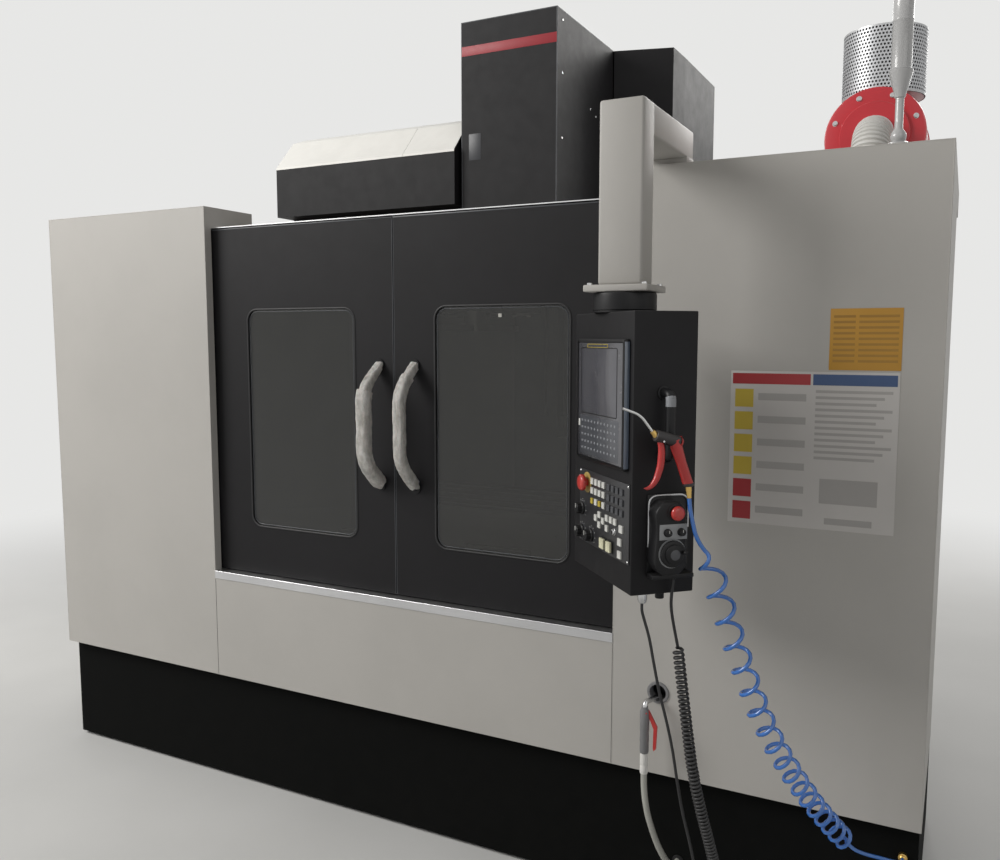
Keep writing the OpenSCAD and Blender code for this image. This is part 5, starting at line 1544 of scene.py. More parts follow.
@dataclass
class CoverTrim:
    """Red band, faint patch, screws and folds of the head cover, and the magazine's lid."""

    half_width: float = 204.0
    front_y: float = 830.0
    rear_y: float = 1420.0
    top_z: float = 2826.0
    low_z: float = 2000.0
    band_z: Span = (2698.0, 2734.0)
    screws: tuple[Span, ...] = ((878, 2789), (878, 2598), (878, 2361), (1167, 2528), (1227, 2511))
    magazine_x: Span = (-1118.0, -220.0)
    fold: float = 2.3

    def build(self) -> None:
        """Builds the trim of the covers."""
        w, front = self.half_width, self.front_y
        band = Work.block(
            "head_cover_band", around(0, w - 1), (front - 0.6, front + 0.2), self.band_z)
        band.round(0.25).seat("head", "charcoal_paint", Finishes.BAND_RED)
        ghost = Work.block(
            "head_cover_patch", (-171, -118), (front - 0.4, front + 0.2), (2302, 2402))
        ghost.round(0.2).seat("head", "charcoal_paint", Finishes.PATCH)
        heads = []
        for sign in (-1, 1):
            profile = [
                (0, 2.2 * sign), (3.4, 2.2 * sign), (5.2, 0.9 * sign), (5.4, 0), (0, -0.1 * sign)]
            heads += [
                Work.turned("screw", (sign * w, y, z), Axis.X, profile, sides=18) for y,
                z in self.screws]
        Work.merged("head_cover_screws", heads).seat("head", "fitting_metal", Finishes.CHROME)
        self.folds()
        self.lid()

    def folds(self) -> None:
        """Builds the folds along the head cover's edges, lighter than its paint as a painted
        highlight.
        """
        w, y, top = self.half_width, self.front_y + 1.6, self.top_z - 2.4
        ends = [((2 - w, y, top), (w - 2, y, top))]
        for x in (1.6 - w, w - 1.6):
            ends.append(((x, y, self.low_z), (x, y, self.top_z - 3)))
            ends.append(((x, self.front_y + 2, top), (x, self.rear_y - 1, top)))
        edges = [Work.rod("edge", a, b, self.fold, sides=14) for a, b in ends]
        Work.merged("head_cover_folds", edges).seat(
            "head", "charcoal_paint", Finishes.EDGE, angle=SMOOTH)

    def lid(self) -> None:
        """Builds the pale lid on the magazine's slope and top."""
        low, high = self.magazine_x
        for side, x, rear in (
                ("left", (low + 0.5, -461), 1638), ("right", (-459.5, high - 0.5), 1418)):
            bends = ((799.2, 2338), (799.2, 2346), (915.2, 2471), (999.6, 2501.4), (rear, 2501.4))
            line = [(x[0], y, z) for y, z in bends]
            lid = Work.strip(f"magazine_lid_{side}", line, (x[1] - x[0], 0, 0), 1.4)
            lid.seat("root", "light_paint", Finishes.LID, angle=25)


@dataclass
class ArmCover:
    """Rounded sheet covers of the pendant's arm."""

    x: Span = (825.0, 933.0)
    post_y: Span = (-341.0, -263.0)
    post_z: float = 1731.0
    beam_z: Span = (2074.0, 2150.0)
    foot_y: Span = (8.0, 72.0)
    roof_z: float = 2060.0

    def build(self) -> None:
        """Builds the post, beam, foot and flange."""
        top, flange_z = self.beam_z[1], (self.post_z - 16, self.post_z)
        sheets = (
            ("post", self.x, self.post_y, (self.post_z, top), 7, 3, ("pendant_arm",)),
            (
                "beam", widen(self.x, -0.8), (self.post_y[1] - 12, self.foot_y[1]),
                (self.beam_z[0], top - 0.8), 6, 3, ()),
            ("foot", self.x, self.foot_y, (self.roof_z, self.beam_z[0] + 4), 1.5, 2, ()),
            ("flange", (801, 957), (-372, -232), flange_z, 3, 3, ()))
        for name, x, y, z, fold, segments, replaces in sheets:
            sheet = Work.block(f"pendant_{name}", x, y, z).round(fold, segments)
            sheet.seat("root", "light_paint", Finishes.LIGHT, replaces=replaces)
        screw = Work.turned(
            "pendant_flange_screws", (813, -360, self.post_z), Axis.Z, BUTTON_HEAD, sides=18)
        screw.copies([(132, 0, 0), (0, 116, 0), (132, 116, 0)])
        screw.seat("root", "fitting_metal", Finishes.CHROME)


@dataclass
class PendantFace:
    """Display, operator panel, keys, knobs and stop on the pendant's front."""

    front: float = -77.0
    display_x: Span = (-124.0, 152.0)
    display_z: Span = (1316.0, 1607.0)
    display_y: float = -91.0
    screen_x: Span = (-95.0, 111.0)
    screen_z: Span = (1432.0, 1584.0)
    panel_x: Span = (-128.0, 162.0)
    panel_z: Span = (1107.0, 1288.0)
    panel_y: float = -80.0
    key: float = 15.0
    key_height: float = 4.0
    stop_at: Span = (-78.0, 1258.0)
    speed_at: Span = (-107.0, 1189.0)
    mode_at: Span = (-108.0, 1132.0)
    feed_at: Span = (-50.0, 1132.0)
    start_at: Span = (29.0, 1129.0)
    hold_at: Span = (66.0, 1129.0)
    lock_at: Span = (86.0, 1168.0)
    white_keys: tuple[Span, ...] = (
        (-43, 1266), (-20, 1266), (2, 1266), (25, 1266), (-43, 1243), (-20, 1243), (2, 1243),
        (25, 1243), (-20, 1218), (25, 1218), (2, 1192), (-19, 1181), (24, 1181), (2, 1168),
        (46, 1192), (70, 1192), (92, 1192), (46, 1168))
    grey_blocks: tuple[Span, ...] = ((126, 1182), (119, 1151), (119, 1122))
    soft_key_pitch: Span = (19.2, 16.5)
    tick_radius: float = 22.6

    def build(self) -> None:
        """Builds the pendant's front."""
        self.display()
        self.panel()
        self.keys()
        self.stop()
        for node, at in (
                ("feed_knob", self.feed_at), ("speed_knob", self.speed_at),
                ("mode_switch", self.mode_at)):
            self.knob(node, at)
        for node, at in (("start_button", self.start_at), ("hold_button", self.hold_at)):
            self.button(node, at)

    def display(self) -> None:
        """Builds the display's frame, screen and soft-key field."""
        y, right = self.display_y, self.display_x[1]
        case = Work.block(
            "display_case", self.display_x, (y, self.front), self.display_z).round(4, segments=3)
        case.pick(lambda c, n: n.y < -0.9).inset(6).inset(0.8).push((0, 1, 0))
        deselect()
        case.seat("pendant", "black_plastic", Finishes.PLASTIC, replaces=("display_unit",))
        on_film = (y + 0.1, y + 2)
        plates = (
            (
                "film", widen(self.display_x, -9), (y + 0.4, y + 3), widen(self.display_z, -9),
                Finishes.SCREEN),
            ("screen", self.screen_x, on_film, self.screen_z, Finishes.SCREEN_GLASS),
            ("corner_tag", (-112, -101), on_film, (1396, 1413), Finishes.KEYS_LIGHT),
            ("key_field", (-104, 124), on_film, (1330, 1424), Finishes.KEY_FIELD),
            (
                "side_edge", (right - 1.4, right + 0.3), (y + 1.5, self.front - 1.5),
                widen(self.display_z, -6), Finishes.BEZEL))
        for name, x, depth, z, finish in plates:
            slot = "key_plastic" if finish is Finishes.KEYS_LIGHT else "screen_plastic"
            Work.block(f"display_{name}", x, depth, z).round(0.3).seat("pendant", slot, finish)
        rim = outline(widen(self.screen_x, 2), widen(self.screen_z, 2), y + 0.2, 4, 4)
        rim = Work.pipe("display_screen_rim", rim, 0.9, sides=2, closed=True)
        rim.seat("pendant", "black_plastic", Finishes.PLASTIC)
        top = outline((-60, 60), (1587, 1594.5), y + 0.2, 2, 3)
        top = Work.pipe("display_top_frame", top, 0.7, sides=2, closed=True)
        top.seat("pendant", "screen_plastic", Finishes.AMBER)
        profile = [(0, 0.9), (2.4, 0.9), (3.3, 0.4), (3.3, 0), (0, 0)]
        dot = Work.turned("display_soft_keys", (-88, y + 0.2, 1411), Axis.FRONT, profile, sides=12)
        across, down = self.soft_key_pitch
        steps = [(across * i, 0, -down * j) for j in range(5) for i in range(11) if i + j > 0]
        dot.copies(steps).seat("pendant", "key_plastic", Finishes.SOFT_KEYS)

    def panel(self) -> None:
        """Builds the operator panel's plate, rings, scales and lock."""
        y = self.panel_y
        plate = Work.block("operator_plate", self.panel_x, (y, self.front + 0.3), self.panel_z)
        plate.round(2, segments=2).seat(
            "pendant", "key_plastic", Finishes.PANEL, replaces=("panel_keys",))
        ring = Work.turned(
            "stop_ring", (self.stop_at[0], y, self.stop_at[1]), Axis.FRONT,
            [(10, -0.5), (10, 1.2), (22, 1.6), (25.5, 0.8), (25.5, -0.5), (10, -0.5)], sides=40)
        ring.seat("pendant", "cream_plastic", Finishes.COLLAR)
        scales, ticks = [], []
        for x, z in (self.speed_at, self.mode_at, self.feed_at):
            scales.append(
                Work.turned(
                    "knob_scales", (x, y, z), Axis.FRONT,
                    [(5, -0.4), (5, 0.5), (20, 0.9), (20, -0.4), (5, -0.4)], sides=36))
            for i in range(9):
                turn = math.radians(-130 + 32.5 * i)
                px = x + self.tick_radius * math.sin(turn)
                pz = z + self.tick_radius * math.cos(turn)
                ticks.append(
                    Work.rod("knob_ticks", (px, y - 0.5, pz), (px, y + 0.3, pz), 1.1, sides=10))
        scales[0].join(scales[1:]).seat("pendant", "key_plastic", Finishes.KEYS_DARK)
        ticks[0].join(ticks[1:]).seat("pendant", "key_plastic", Finishes.KEYS_LIGHT)
        lock = Work.turned(
            "lock_switch", (self.lock_at[0], y, self.lock_at[1]), Axis.FRONT,
            [(0, 7.4), (6.2, 7.4), (7, 6.4), (7.4, 2.2), (9, 1.6), (9, -0.3), (0, -0.3)], sides=32)
        lock.seat("pendant", "fitting_metal", Finishes.CHROME)
        groove = Work.block(
            "lock_slot", around(self.lock_at[0], 1), (y - 7.8, y - 7), around(self.lock_at[1], 4))
        groove.seat("pendant", "black_plastic", Finishes.PLASTIC)
        screw = Work.turned(
            "operator_screws", (self.panel_x[0] + 6, y, self.panel_z[0] + 6), Axis.FRONT,
            [(0, 1), (2.2, 1), (3, 0.3), (3, -0.2), (0, -0.2)], sides=14)
        width = self.panel_x[1] - self.panel_x[0] - 12
        height = self.panel_z[1] - self.panel_z[0] - 12
        screw.copies([(width, 0, 0), (0, 0, height), (width, 0, height)])
        screw.seat("pendant", "fitting_metal", Finishes.CHROME)

    def caps(self, name: str, places: list[Span], size: Span, finish: Finish) -> None:
        """Builds key caps at several places.

        Args:
            name: The keys' name.
            places: Their centres, across and up.
            size: Their width and height.
            finish: Their finish.
        """
        y = self.panel_y
        x0, z0 = places[0]
        cap = Work.block(
            name, around(x0, size[0] / 2), (y - self.key_height, y + 0.2), around(z0, size[1] / 2))
        cap.pick(lambda c, n: n.y < -0.9).inset(1.6, 0).push((0, 0.6, 0))
        cap.round(0.7, segments=2)
        cap.copies(
            [(x - x0, 0, z - z0) for x, z in places[1:]]).seat("pendant", "key_plastic", finish)

    def keys(self) -> None:
        """Builds all the panel's key caps."""
        self.caps("light_keys", list(self.white_keys), (self.key, self.key), Finishes.KEYS_LIGHT)
        dark = [(x, z) for x in (54, 78, 102, 126) for z in (1218, 1242, 1266)]
        self.caps("dark_keys", dark, (self.key, self.key), Finishes.KEYS_DARK)
        self.caps(
            "grey_switches", list(self.grey_blocks), (self.key + 4, self.key + 2),
            Finishes.KEYS_LIGHT)
        self.caps(
            "yellow_key", [(2, 1218), (-43, 1218)], (self.key - 2, self.key - 2), Finishes.AMBER)

    def stop(self) -> None:
        """Builds the emergency stop's mushroom head."""
        y = self.panel_y - 10
        profile = [
            (0, 13.2), (10, 12.8), (16.5, 11.2), (19.4, 8.4), (20, 5), (19.6, 1), (17.5, 0),
            (9, -0.2), (9, -15), (0, -15)]
        head = Work.turned(
            "pendant_stop_head", (self.stop_at[0], y, self.stop_at[1]), Axis.FRONT, profile,
            sides=44)
        head.seat("pendant_estop", "stop_red", Finishes.STOP, replaces=("pendant_estop",), angle=50)

    def knob(self, node: str, at: Span) -> None:
        """Builds one fluted knob with its pointer.

        Args:
            node: The CAD knob, which is also its body.
            at: Its centre, across and up.
        """
        y = self.panel_y - 1.3
        profile = [
            (0, 18), (11, 18), (13.4, 16.6), (14, 6), (16.4, 5), (17, 3.6), (17, 0), (4, -0.1),
            (4, -6), (0, -6)]
        body = Work.turned(f"{node}_body", (at[0], y, at[1]), Axis.FRONT, profile, sides=48)

        def flute(v: Vector) -> Vector:
            """Draws a vertex of the grip in where a flute runs.

            Args:
                v: The vertex's place, in millimetres.

            Returns:
                The new place.
            """
            out = Vector((v.x - at[0], 0, v.z - at[1]))
            if v.y < y - 4 and out.length > 11.5:
                wave = 0.7 * math.cos(12 * math.atan2(out.z, out.x))
                return v - out.normalized() * (0.7 - wave)
            return v

        body.shape(flute).seat(node, "black_plastic", Finishes.PLASTIC, replaces=(node,))
        mark = Work.block(
            f"{node}_pointer", around(at[0], 1.3), (y - 18.8, y - 17.6),
            (at[1] + 1, at[1] + 12)).round(0.4)
        mark.seat(node, "key_plastic", Finishes.KEYS_LIGHT)

    def button(self, node: str, at: Span) -> None:
        """Builds one square button with a raised rim and a pale lens.

        Args:
            node: The CAD button, which is also its body.
            at: Its centre, across and up.
        """
        y = self.panel_y
        cap = Work.block(f"{node}_cap", around(at[0], 12), (y - 9, y - 3.5), around(at[1], 12))
        cap.pick(lambda c, n: n.y < -0.9).inset(2.2, 0).push((0, 1, 0))
        cap.round(0.8, segments=2)
        cap.join([Work.rod("stem", (at[0], y - 4, at[1]), (at[0], y + 5, at[1]), 8)])
        cap.seat(node, "cream_plastic", Finishes.CREAM, replaces=(node,))
        rim = Work.block(
            f"{node}_seat", around(at[0], 15), (y - 1.6, y + 0.2), around(at[1], 15)).round(1)
        rim.seat("pendant", "black_plastic", Finishes.PLASTIC)


@dataclass
class PendantBody:
    """The pendant's box with its grab bar, swivel collar, connector, port cap and screws."""

    side: float = 170.0
    depth: float = 77.0
    z: Span = (1040.0, 1668.0)

    def build(self) -> None:
        """Builds the box with rounded folds and what is fixed to it."""
        box = Work.block("pendant_case", around(0, self.side), around(0, self.depth), self.z)
        box.round(3, segments=3).seat(
            "pendant", "charcoal_paint", Finishes.CHARCOAL, replaces=("pendant_box",))
        x = self.side
        line = rounded([(x, -5, 1350), (x + 35, -5, 1350), (x + 35, -5, 1490), (x, -5, 1490)], 16)
        Work.pipe("grab_bar", line, 11, sides=6).seat(
            "pendant", "black_plastic", Finishes.PLASTIC, angle=SMOOTH)
        feet = Work.turned(
            "grab_bar_feet", (x, -5, 1350), Axis.X, [(0, 5), (12.5, 5), (15, 3), (15, 0), (0, 0)],
            sides=32)
        feet.copies([(0, 0, 140)]).seat("pendant", "black_plastic", Finishes.PLASTIC)
        # A lighter grey section over the bar's upper bend.
        bend_points = evenly(line, 3)[-20:-12]
        Work.pipe("grab_bar_worn_bend", bend_points, 11.15, sides=6).seat(
            "pendant", "black_plastic", Finishes.SOFT_KEYS, angle=SMOOTH)
        swivel = Work.turned(
            "swivel_collar", (-11, -18, 1668), Axis.Z,
            [(0, 46.6), (71, 46.6), (74, 44), (75, 38), (75, 6), (73, 4), (73, 0), (0, 0)],
            sides=64)
        swivel.seat("pendant", "charcoal_paint", Finishes.PLASTIC)
        plug = Work.turned(
            "cord_connector", (110, -19, 1004), Axis.Z,
            [(0, 0), (8.5, 0), (10, 3), (11, 12), (11, 20), (14, 21), (14, 33), (12, 36), (0, 36)],
            sides=36)
        plug.seat("pendant", "fitting_metal", Finishes.CHROME)
        cap = Work.turned(
            "port_cap", (142, 8, 1022), Axis.Z,
            [(0, 0), (9, 0), (10, 1.5), (10, 12), (12, 13), (12, 18), (0, 18)], sides=30)
        cap.seat("pendant", "black_plastic", Finishes.PLASTIC)
        screws = Work.turned(
            "rear_cover_screws", (-158, self.depth, 1052), Axis.Y,
            [(0, 2.2), (3.5, 2.2), (5, 0.9), (5, -0.2), (0, -0.2)], sides=16)
        spots = [(316 * i, 0, 202 * j) for i in (0, 1) for j in range(4) if i + j > 0]
        screws.copies(spots).seat("pendant", "fitting_metal", Finishes.CHROME)


@dataclass
class HandwheelDetails:
    """Handwheel unit in its holder, with its plate, selectors, dial and stop."""

    side: float = 170.0
    face: float = 216.0
    y: Span = (-41.0, 36.0)
    z: Span = (1092.0, 1256.0)
    stop_at: Span = (6.0, 1232.0)
    dial_at: Span = (-1.0, 1142.0)
    dial_radius: float = 30.0

    def build(self) -> None:
        """Builds the unit."""
        holder = Work.block(
            "handwheel_holder", (self.side, self.side + 4), (-41, 60), (1085, 1266)).round(1)
        holder.seat("pendant", "black_plastic", Finishes.PLASTIC, replaces=("pulse_unit",))
        arch = rounded(
            [
                (self.side + 5, -38, 1150), (self.side + 5, -38, 1264), (self.side + 5, 57, 1264),
                (self.side + 5, 57, 1190)],
            22)
        Work.pipe("handwheel_hanger", arch, 2.6, sides=4).seat(
            "pendant", "fitting_metal", Finishes.HOLDER, angle=SMOOTH)
        shelf = Work.block(
            "handwheel_shelf", (self.side + 3.8, self.side + 34), (-41, 60), (1082, 1092)).round(2)
        shelf.seat("pendant", "black_plastic", Finishes.PLASTIC)
        case = Work.block("handwheel_case", (self.side + 4, self.face), self.y, self.z)
        middle = (self.y[0] + self.y[1]) / 2
        waist = 1190

        def pinch(v: Vector) -> Vector:
            """Narrows the case at its waist and towards its ends.

            Args:
                v: The vertex's place, in millimetres.

            Returns:
                The new place.
            """
            near = math.exp(-((v.z - waist) / 30) ** 2)
            ends = max(0, abs(v.z - 1174) - 52) / 30
            return Vector(
                (v.x, middle + (v.y - middle) * (1 - 0.10 * near - 0.55 * ends * ends), v.z))

        case.slice(2, [1100 + 6 * i for i in range(26)]).shape(pinch).round(5, segments=3, angle=50)
        case.seat("pendant", "black_plastic", Finishes.PLASTIC)
        plate = Work.block(
            "handwheel_plate", (self.face, self.face + 1), (-32, 34), (1173, 1207)).round(0.3)
        plate.seat("pendant", "key_plastic", Finishes.PLATE)
        knobs = Work.turned(
            "handwheel_selectors", (self.face + 1, -14, 1189), Axis.X,
            [(0, 11), (6, 11), (7.4, 10), (7.8, 3), (9, 2), (9, 0), (0, 0)], sides=30)
        knobs.copies([(0, 33, 0)]).seat("pendant", "black_plastic", Finishes.PLASTIC)
        marks = Work.block(
            "selector_marks", (self.face + 11.8, self.face + 12.3), (-14.8, -13.2),
            (1189.5, 1195.5)).copies([(0, 33, 0)])
        marks.seat("pendant", "key_plastic", Finishes.KEYS_LIGHT)
        ring = Work.turned(
            "handwheel_stop_ring", (self.face, *self.stop_at), Axis.X,
            [(7.3, -0.3), (7.3, 1.4), (16.5, 1.8), (18.5, 0.8), (18.5, -0.3), (7.3, -0.3)],
            sides=36)
        ring.seat("pendant", "black_plastic", Finishes.PLASTIC)
        head = Work.turned(
            "handwheel_stop_head", (self.face, *self.stop_at), Axis.X,
            [
                (0, 18), (9, 17.6), (13.4, 15.8), (15.8, 12.5), (16, 9), (14.5, 7), (7, 6.8),
                (7, -10), (0, -10)],
            sides=40)
        head.seat("pulse_estop", "stop_red", Finishes.STOP, replaces=("pulse_estop",), angle=50)
        self.dial()
        relief = Work.turned(
            "handwheel_lead_relief", (self.side + 22, 17, 1078), Axis.Z,
            [
                (0, 0), (4.2, 0), (4.6, 2), (4, 3), (5, 5), (4.3, 6), (5.4, 8), (4.8, 9), (6, 11),
                (6, 14), (0, 14)],
            sides=24)
        relief.seat("pendant", "cord_black", Finishes.CORD)

    def dial(self) -> None:
        """Builds the dial with its scale and crank."""
        r = self.dial_radius
        scale = Work.turned(
            "dial_scale", (self.face, *self.dial_at), Axis.X,
            [(8.5, -0.3), (8.5, 0.2), (r + 2.5, 0.35), (r + 2.5, -0.3), (8.5, -0.3)], sides=60)
        scale.seat("pendant", "key_plastic", Finishes.PLATE)
        profile = [
            (0, 16), (19, 16), (21.5, 14.5), (22, 10.6), (27, 10.4), (29.4, 9), (30, 6), (30, 2),
            (29, 0.7), (8, 0.6), (8, -11), (0, -11)]
        body = Work.turned("dial_wheel", (self.face, *self.dial_at), Axis.X, profile, sides=72)

        def knurl(v: Vector) -> Vector:
            """Draws a vertex of the rim in between two ridges.

            Args:
                v: The vertex's place, in millimetres.

            Returns:
                The new place.
            """
            out = Vector((0, v.y - self.dial_at[0], v.z - self.dial_at[1]))
            if out.length > 26.5:
                return v - out.normalized() * (0.5 - 0.5 * math.cos(36 * math.atan2(out.z, out.y)))
            return v

        body.shape(knurl).seat(
            "pulse_dial", "black_plastic", Finishes.PLASTIC, replaces=("pulse_dial",))
        at = (self.face + 10, self.dial_at[0] + 21, self.dial_at[1] + 5)
        pin = Work.turned(
            "dial_crank", at, Axis.X,
            [(0, 16), (3.6, 15.4), (5, 13), (4.2, 6), (3.4, 1), (4.4, -0.4), (0, -0.4)], sides=24)
        pin.seat("pulse_dial", "black_plastic", Finishes.PLASTIC)
        cap = Work.turned(
            "dial_cap", (self.face + 15.8, *self.dial_at), Axis.X,
            [(0, 0.5), (11, 0.5), (12, 0), (0, 0)], sides=40)
        cap.seat("pulse_dial", "key_plastic", Finishes.KEYS_DARK)


@dataclass
class AirGun:
    """Red air gun that hangs on the grab bar by its hook."""

    x: float = 231.5

    def rod(self, name: str, a: Span, b: Span, r: float, r2: float | None = None) -> Work:
        """A bar in the gun's plane."""
        return Work.rod(name, (self.x, *a), (self.x, *b), r, r2, sides=36)

    def build(self) -> None:
        """Builds the gun."""
        head = self.rod("gun_head", (-54, 1404), (2, 1388), 13)
        head.round(3, segments=3).seat(
            "pendant", "black_plastic", Finishes.GREY_DARK, replaces=("air_gun",))
        cap = self.rod("gun_head_cap", (2, 1388), (8, 1386.3), 13.4, 9)
        cap.seat("pendant", "gun_plastic", Finishes.GUN_RED)
        handle = Work.pipe(
            "gun_handle",
            [
                (self.x, -9, 1394), (self.x, -2, 1372), (self.x, 8, 1345), (self.x, 17, 1320),
                (self.x, 26, 1295)],
            1, [13.4, 12.6, 10.8, 11, 11.6], sides=8)
        handle.seat("pendant", "gun_plastic", Finishes.GUN_RED, angle=SMOOTH)
        collar = self.rod("gun_collar", (25.6, 1299), (26.3, 1292), 12.6)
        collar.round(1).seat("pendant", "black_plastic", Finishes.GREY_DARK)
        brass = self.rod("gun_fitting", (26, 1295), (27.5, 1281), 6.8).join(
            [
                self.rod("nut", (27.3, 1283), (28.2, 1274), 6),
                self.rod("tail", (28.1, 1275), (29, 1266), 5.2)])
        brass.seat("pendant", "fitting_metal", Finishes.BRASS)
        nut = self.rod("gun_nozzle_nut", (-52, 1403), (-61, 1413), 7, 5.5)
        nut.seat("pendant", "fitting_metal", Finishes.BRASS)
        line = rounded([(self.x, -54, 1404), (self.x, -89, 1448), (self.x, -130, 1463)], 16)
        Work.pipe("gun_nozzle", line, 2.9, sides=4).seat(
            "pendant", "fitting_metal", Finishes.CHROME, angle=SMOOTH)
        hook = Work.block("gun_hook", (216.2, self.x - 8), (-13, 3), (1384, 1400)).round(2)
        hook.seat("pendant", "black_plastic", Finishes.GREY_DARK)
        side = rounded(
            [
                (self.x, -47, 1402), (self.x, -38, 1376), (self.x, -40, 1340), (self.x, -50, 1308),
                (self.x, -66, 1290), (self.x, -74, 1291)],
            11)
        n = len(side) - 1
        lever = Work.pipe(
            "gun_lever", side, 1, [7.6 - 3.4 * abs(2 * i / n - 0.7) ** 2 for i in range(n + 1)],
            sides=6)
        lever.seat(
            "gun_trigger", "stop_red", Finishes.GUN_RED, replaces=("gun_trigger",), angle=SMOOTH)
        pivot = Work.rod(
            "gun_lever_pivot", (self.x - 14, -40, 1392), (self.x + 14, -40, 1392), 2.2, sides=20)
        pivot.seat("gun_trigger", "fitting_metal", Finishes.CHROME)


@dataclass
class WashGun:
    """Wash gun that hangs by its nozzle in the port, with the port and the hose fittings."""

    x: float = 867.0
    y: float = -60.0
    port: Span = (885.0, 635.0)

    def build(self) -> None:
        """Builds the gun and the fittings."""
        x, y = self.x, self.y
        line = rounded([(885, 20, 619), (x, y, 626), (x, y, 600)], 15)
        Work.pipe("wash_nozzle", line, 7.2, sides=5).seat(
            "root", "fitting_metal", Finishes.CHROME, replaces=("wash_gun",), angle=SMOOTH)
        grip = Work.turned(
            "wash_grip", (x, y, 484), Axis.Z,
            [
                (0, 0), (11.5, 0), (12.6, 6), (12, 30), (13, 34), (12, 60), (13, 66), (13, 118),
                (9.6, 124), (9, 130), (0, 130)],
            sides=36)
        grip.seat("root", "fitting_metal", Finishes.GREY_GUN)
        tail = Work.turned(
            "wash_tail", (x, y, 425), Axis.Z,
            [
                (0, 0), (9.8, 0), (11, 3), (11, 22), (10, 24), (11, 27), (11, 52), (9, 59.5),
                (0, 59.5)],
            sides=30)
        tail.seat("root", "hose_clear", Finishes.DUCT)
        ring = Work.turned(
            "wash_port_ring", (self.port[0], 0, self.port[1]), Axis.FRONT,
            [
                (23.3, 4), (26, 4.6), (30, 3.4), (31.5, 0), (26, 0), (26, -30), (23.3, -30),
                (23.3, 4)],
            sides=48)
        ring.seat("root", "fitting_metal", Finishes.GREY_GUN, replaces=("hose_fittings",))
        supply = Work.turned(
            "air_supply_fitting", (1515, 20, 312), Axis.Y,
            [(0, 0), (6, 0), (8, 2), (8, 6), (11, 7), (11, 18), (8.9, 18.5), (8.9, 48), (0, 48)],
            sides=24)
        supply.seat("root", "fitting_metal", Finishes.BRASS)
        gland = Work.turned(
            "wash_hose_gland", (940, 34, 140), Axis.Y,
            [(0, 0), (14, 0), (16, 1), (16, 4), (12.9, 4.2), (12.9, 29), (0, 29)], sides=32)
        gland.seat("root", "black_plastic", Finishes.PLASTIC)


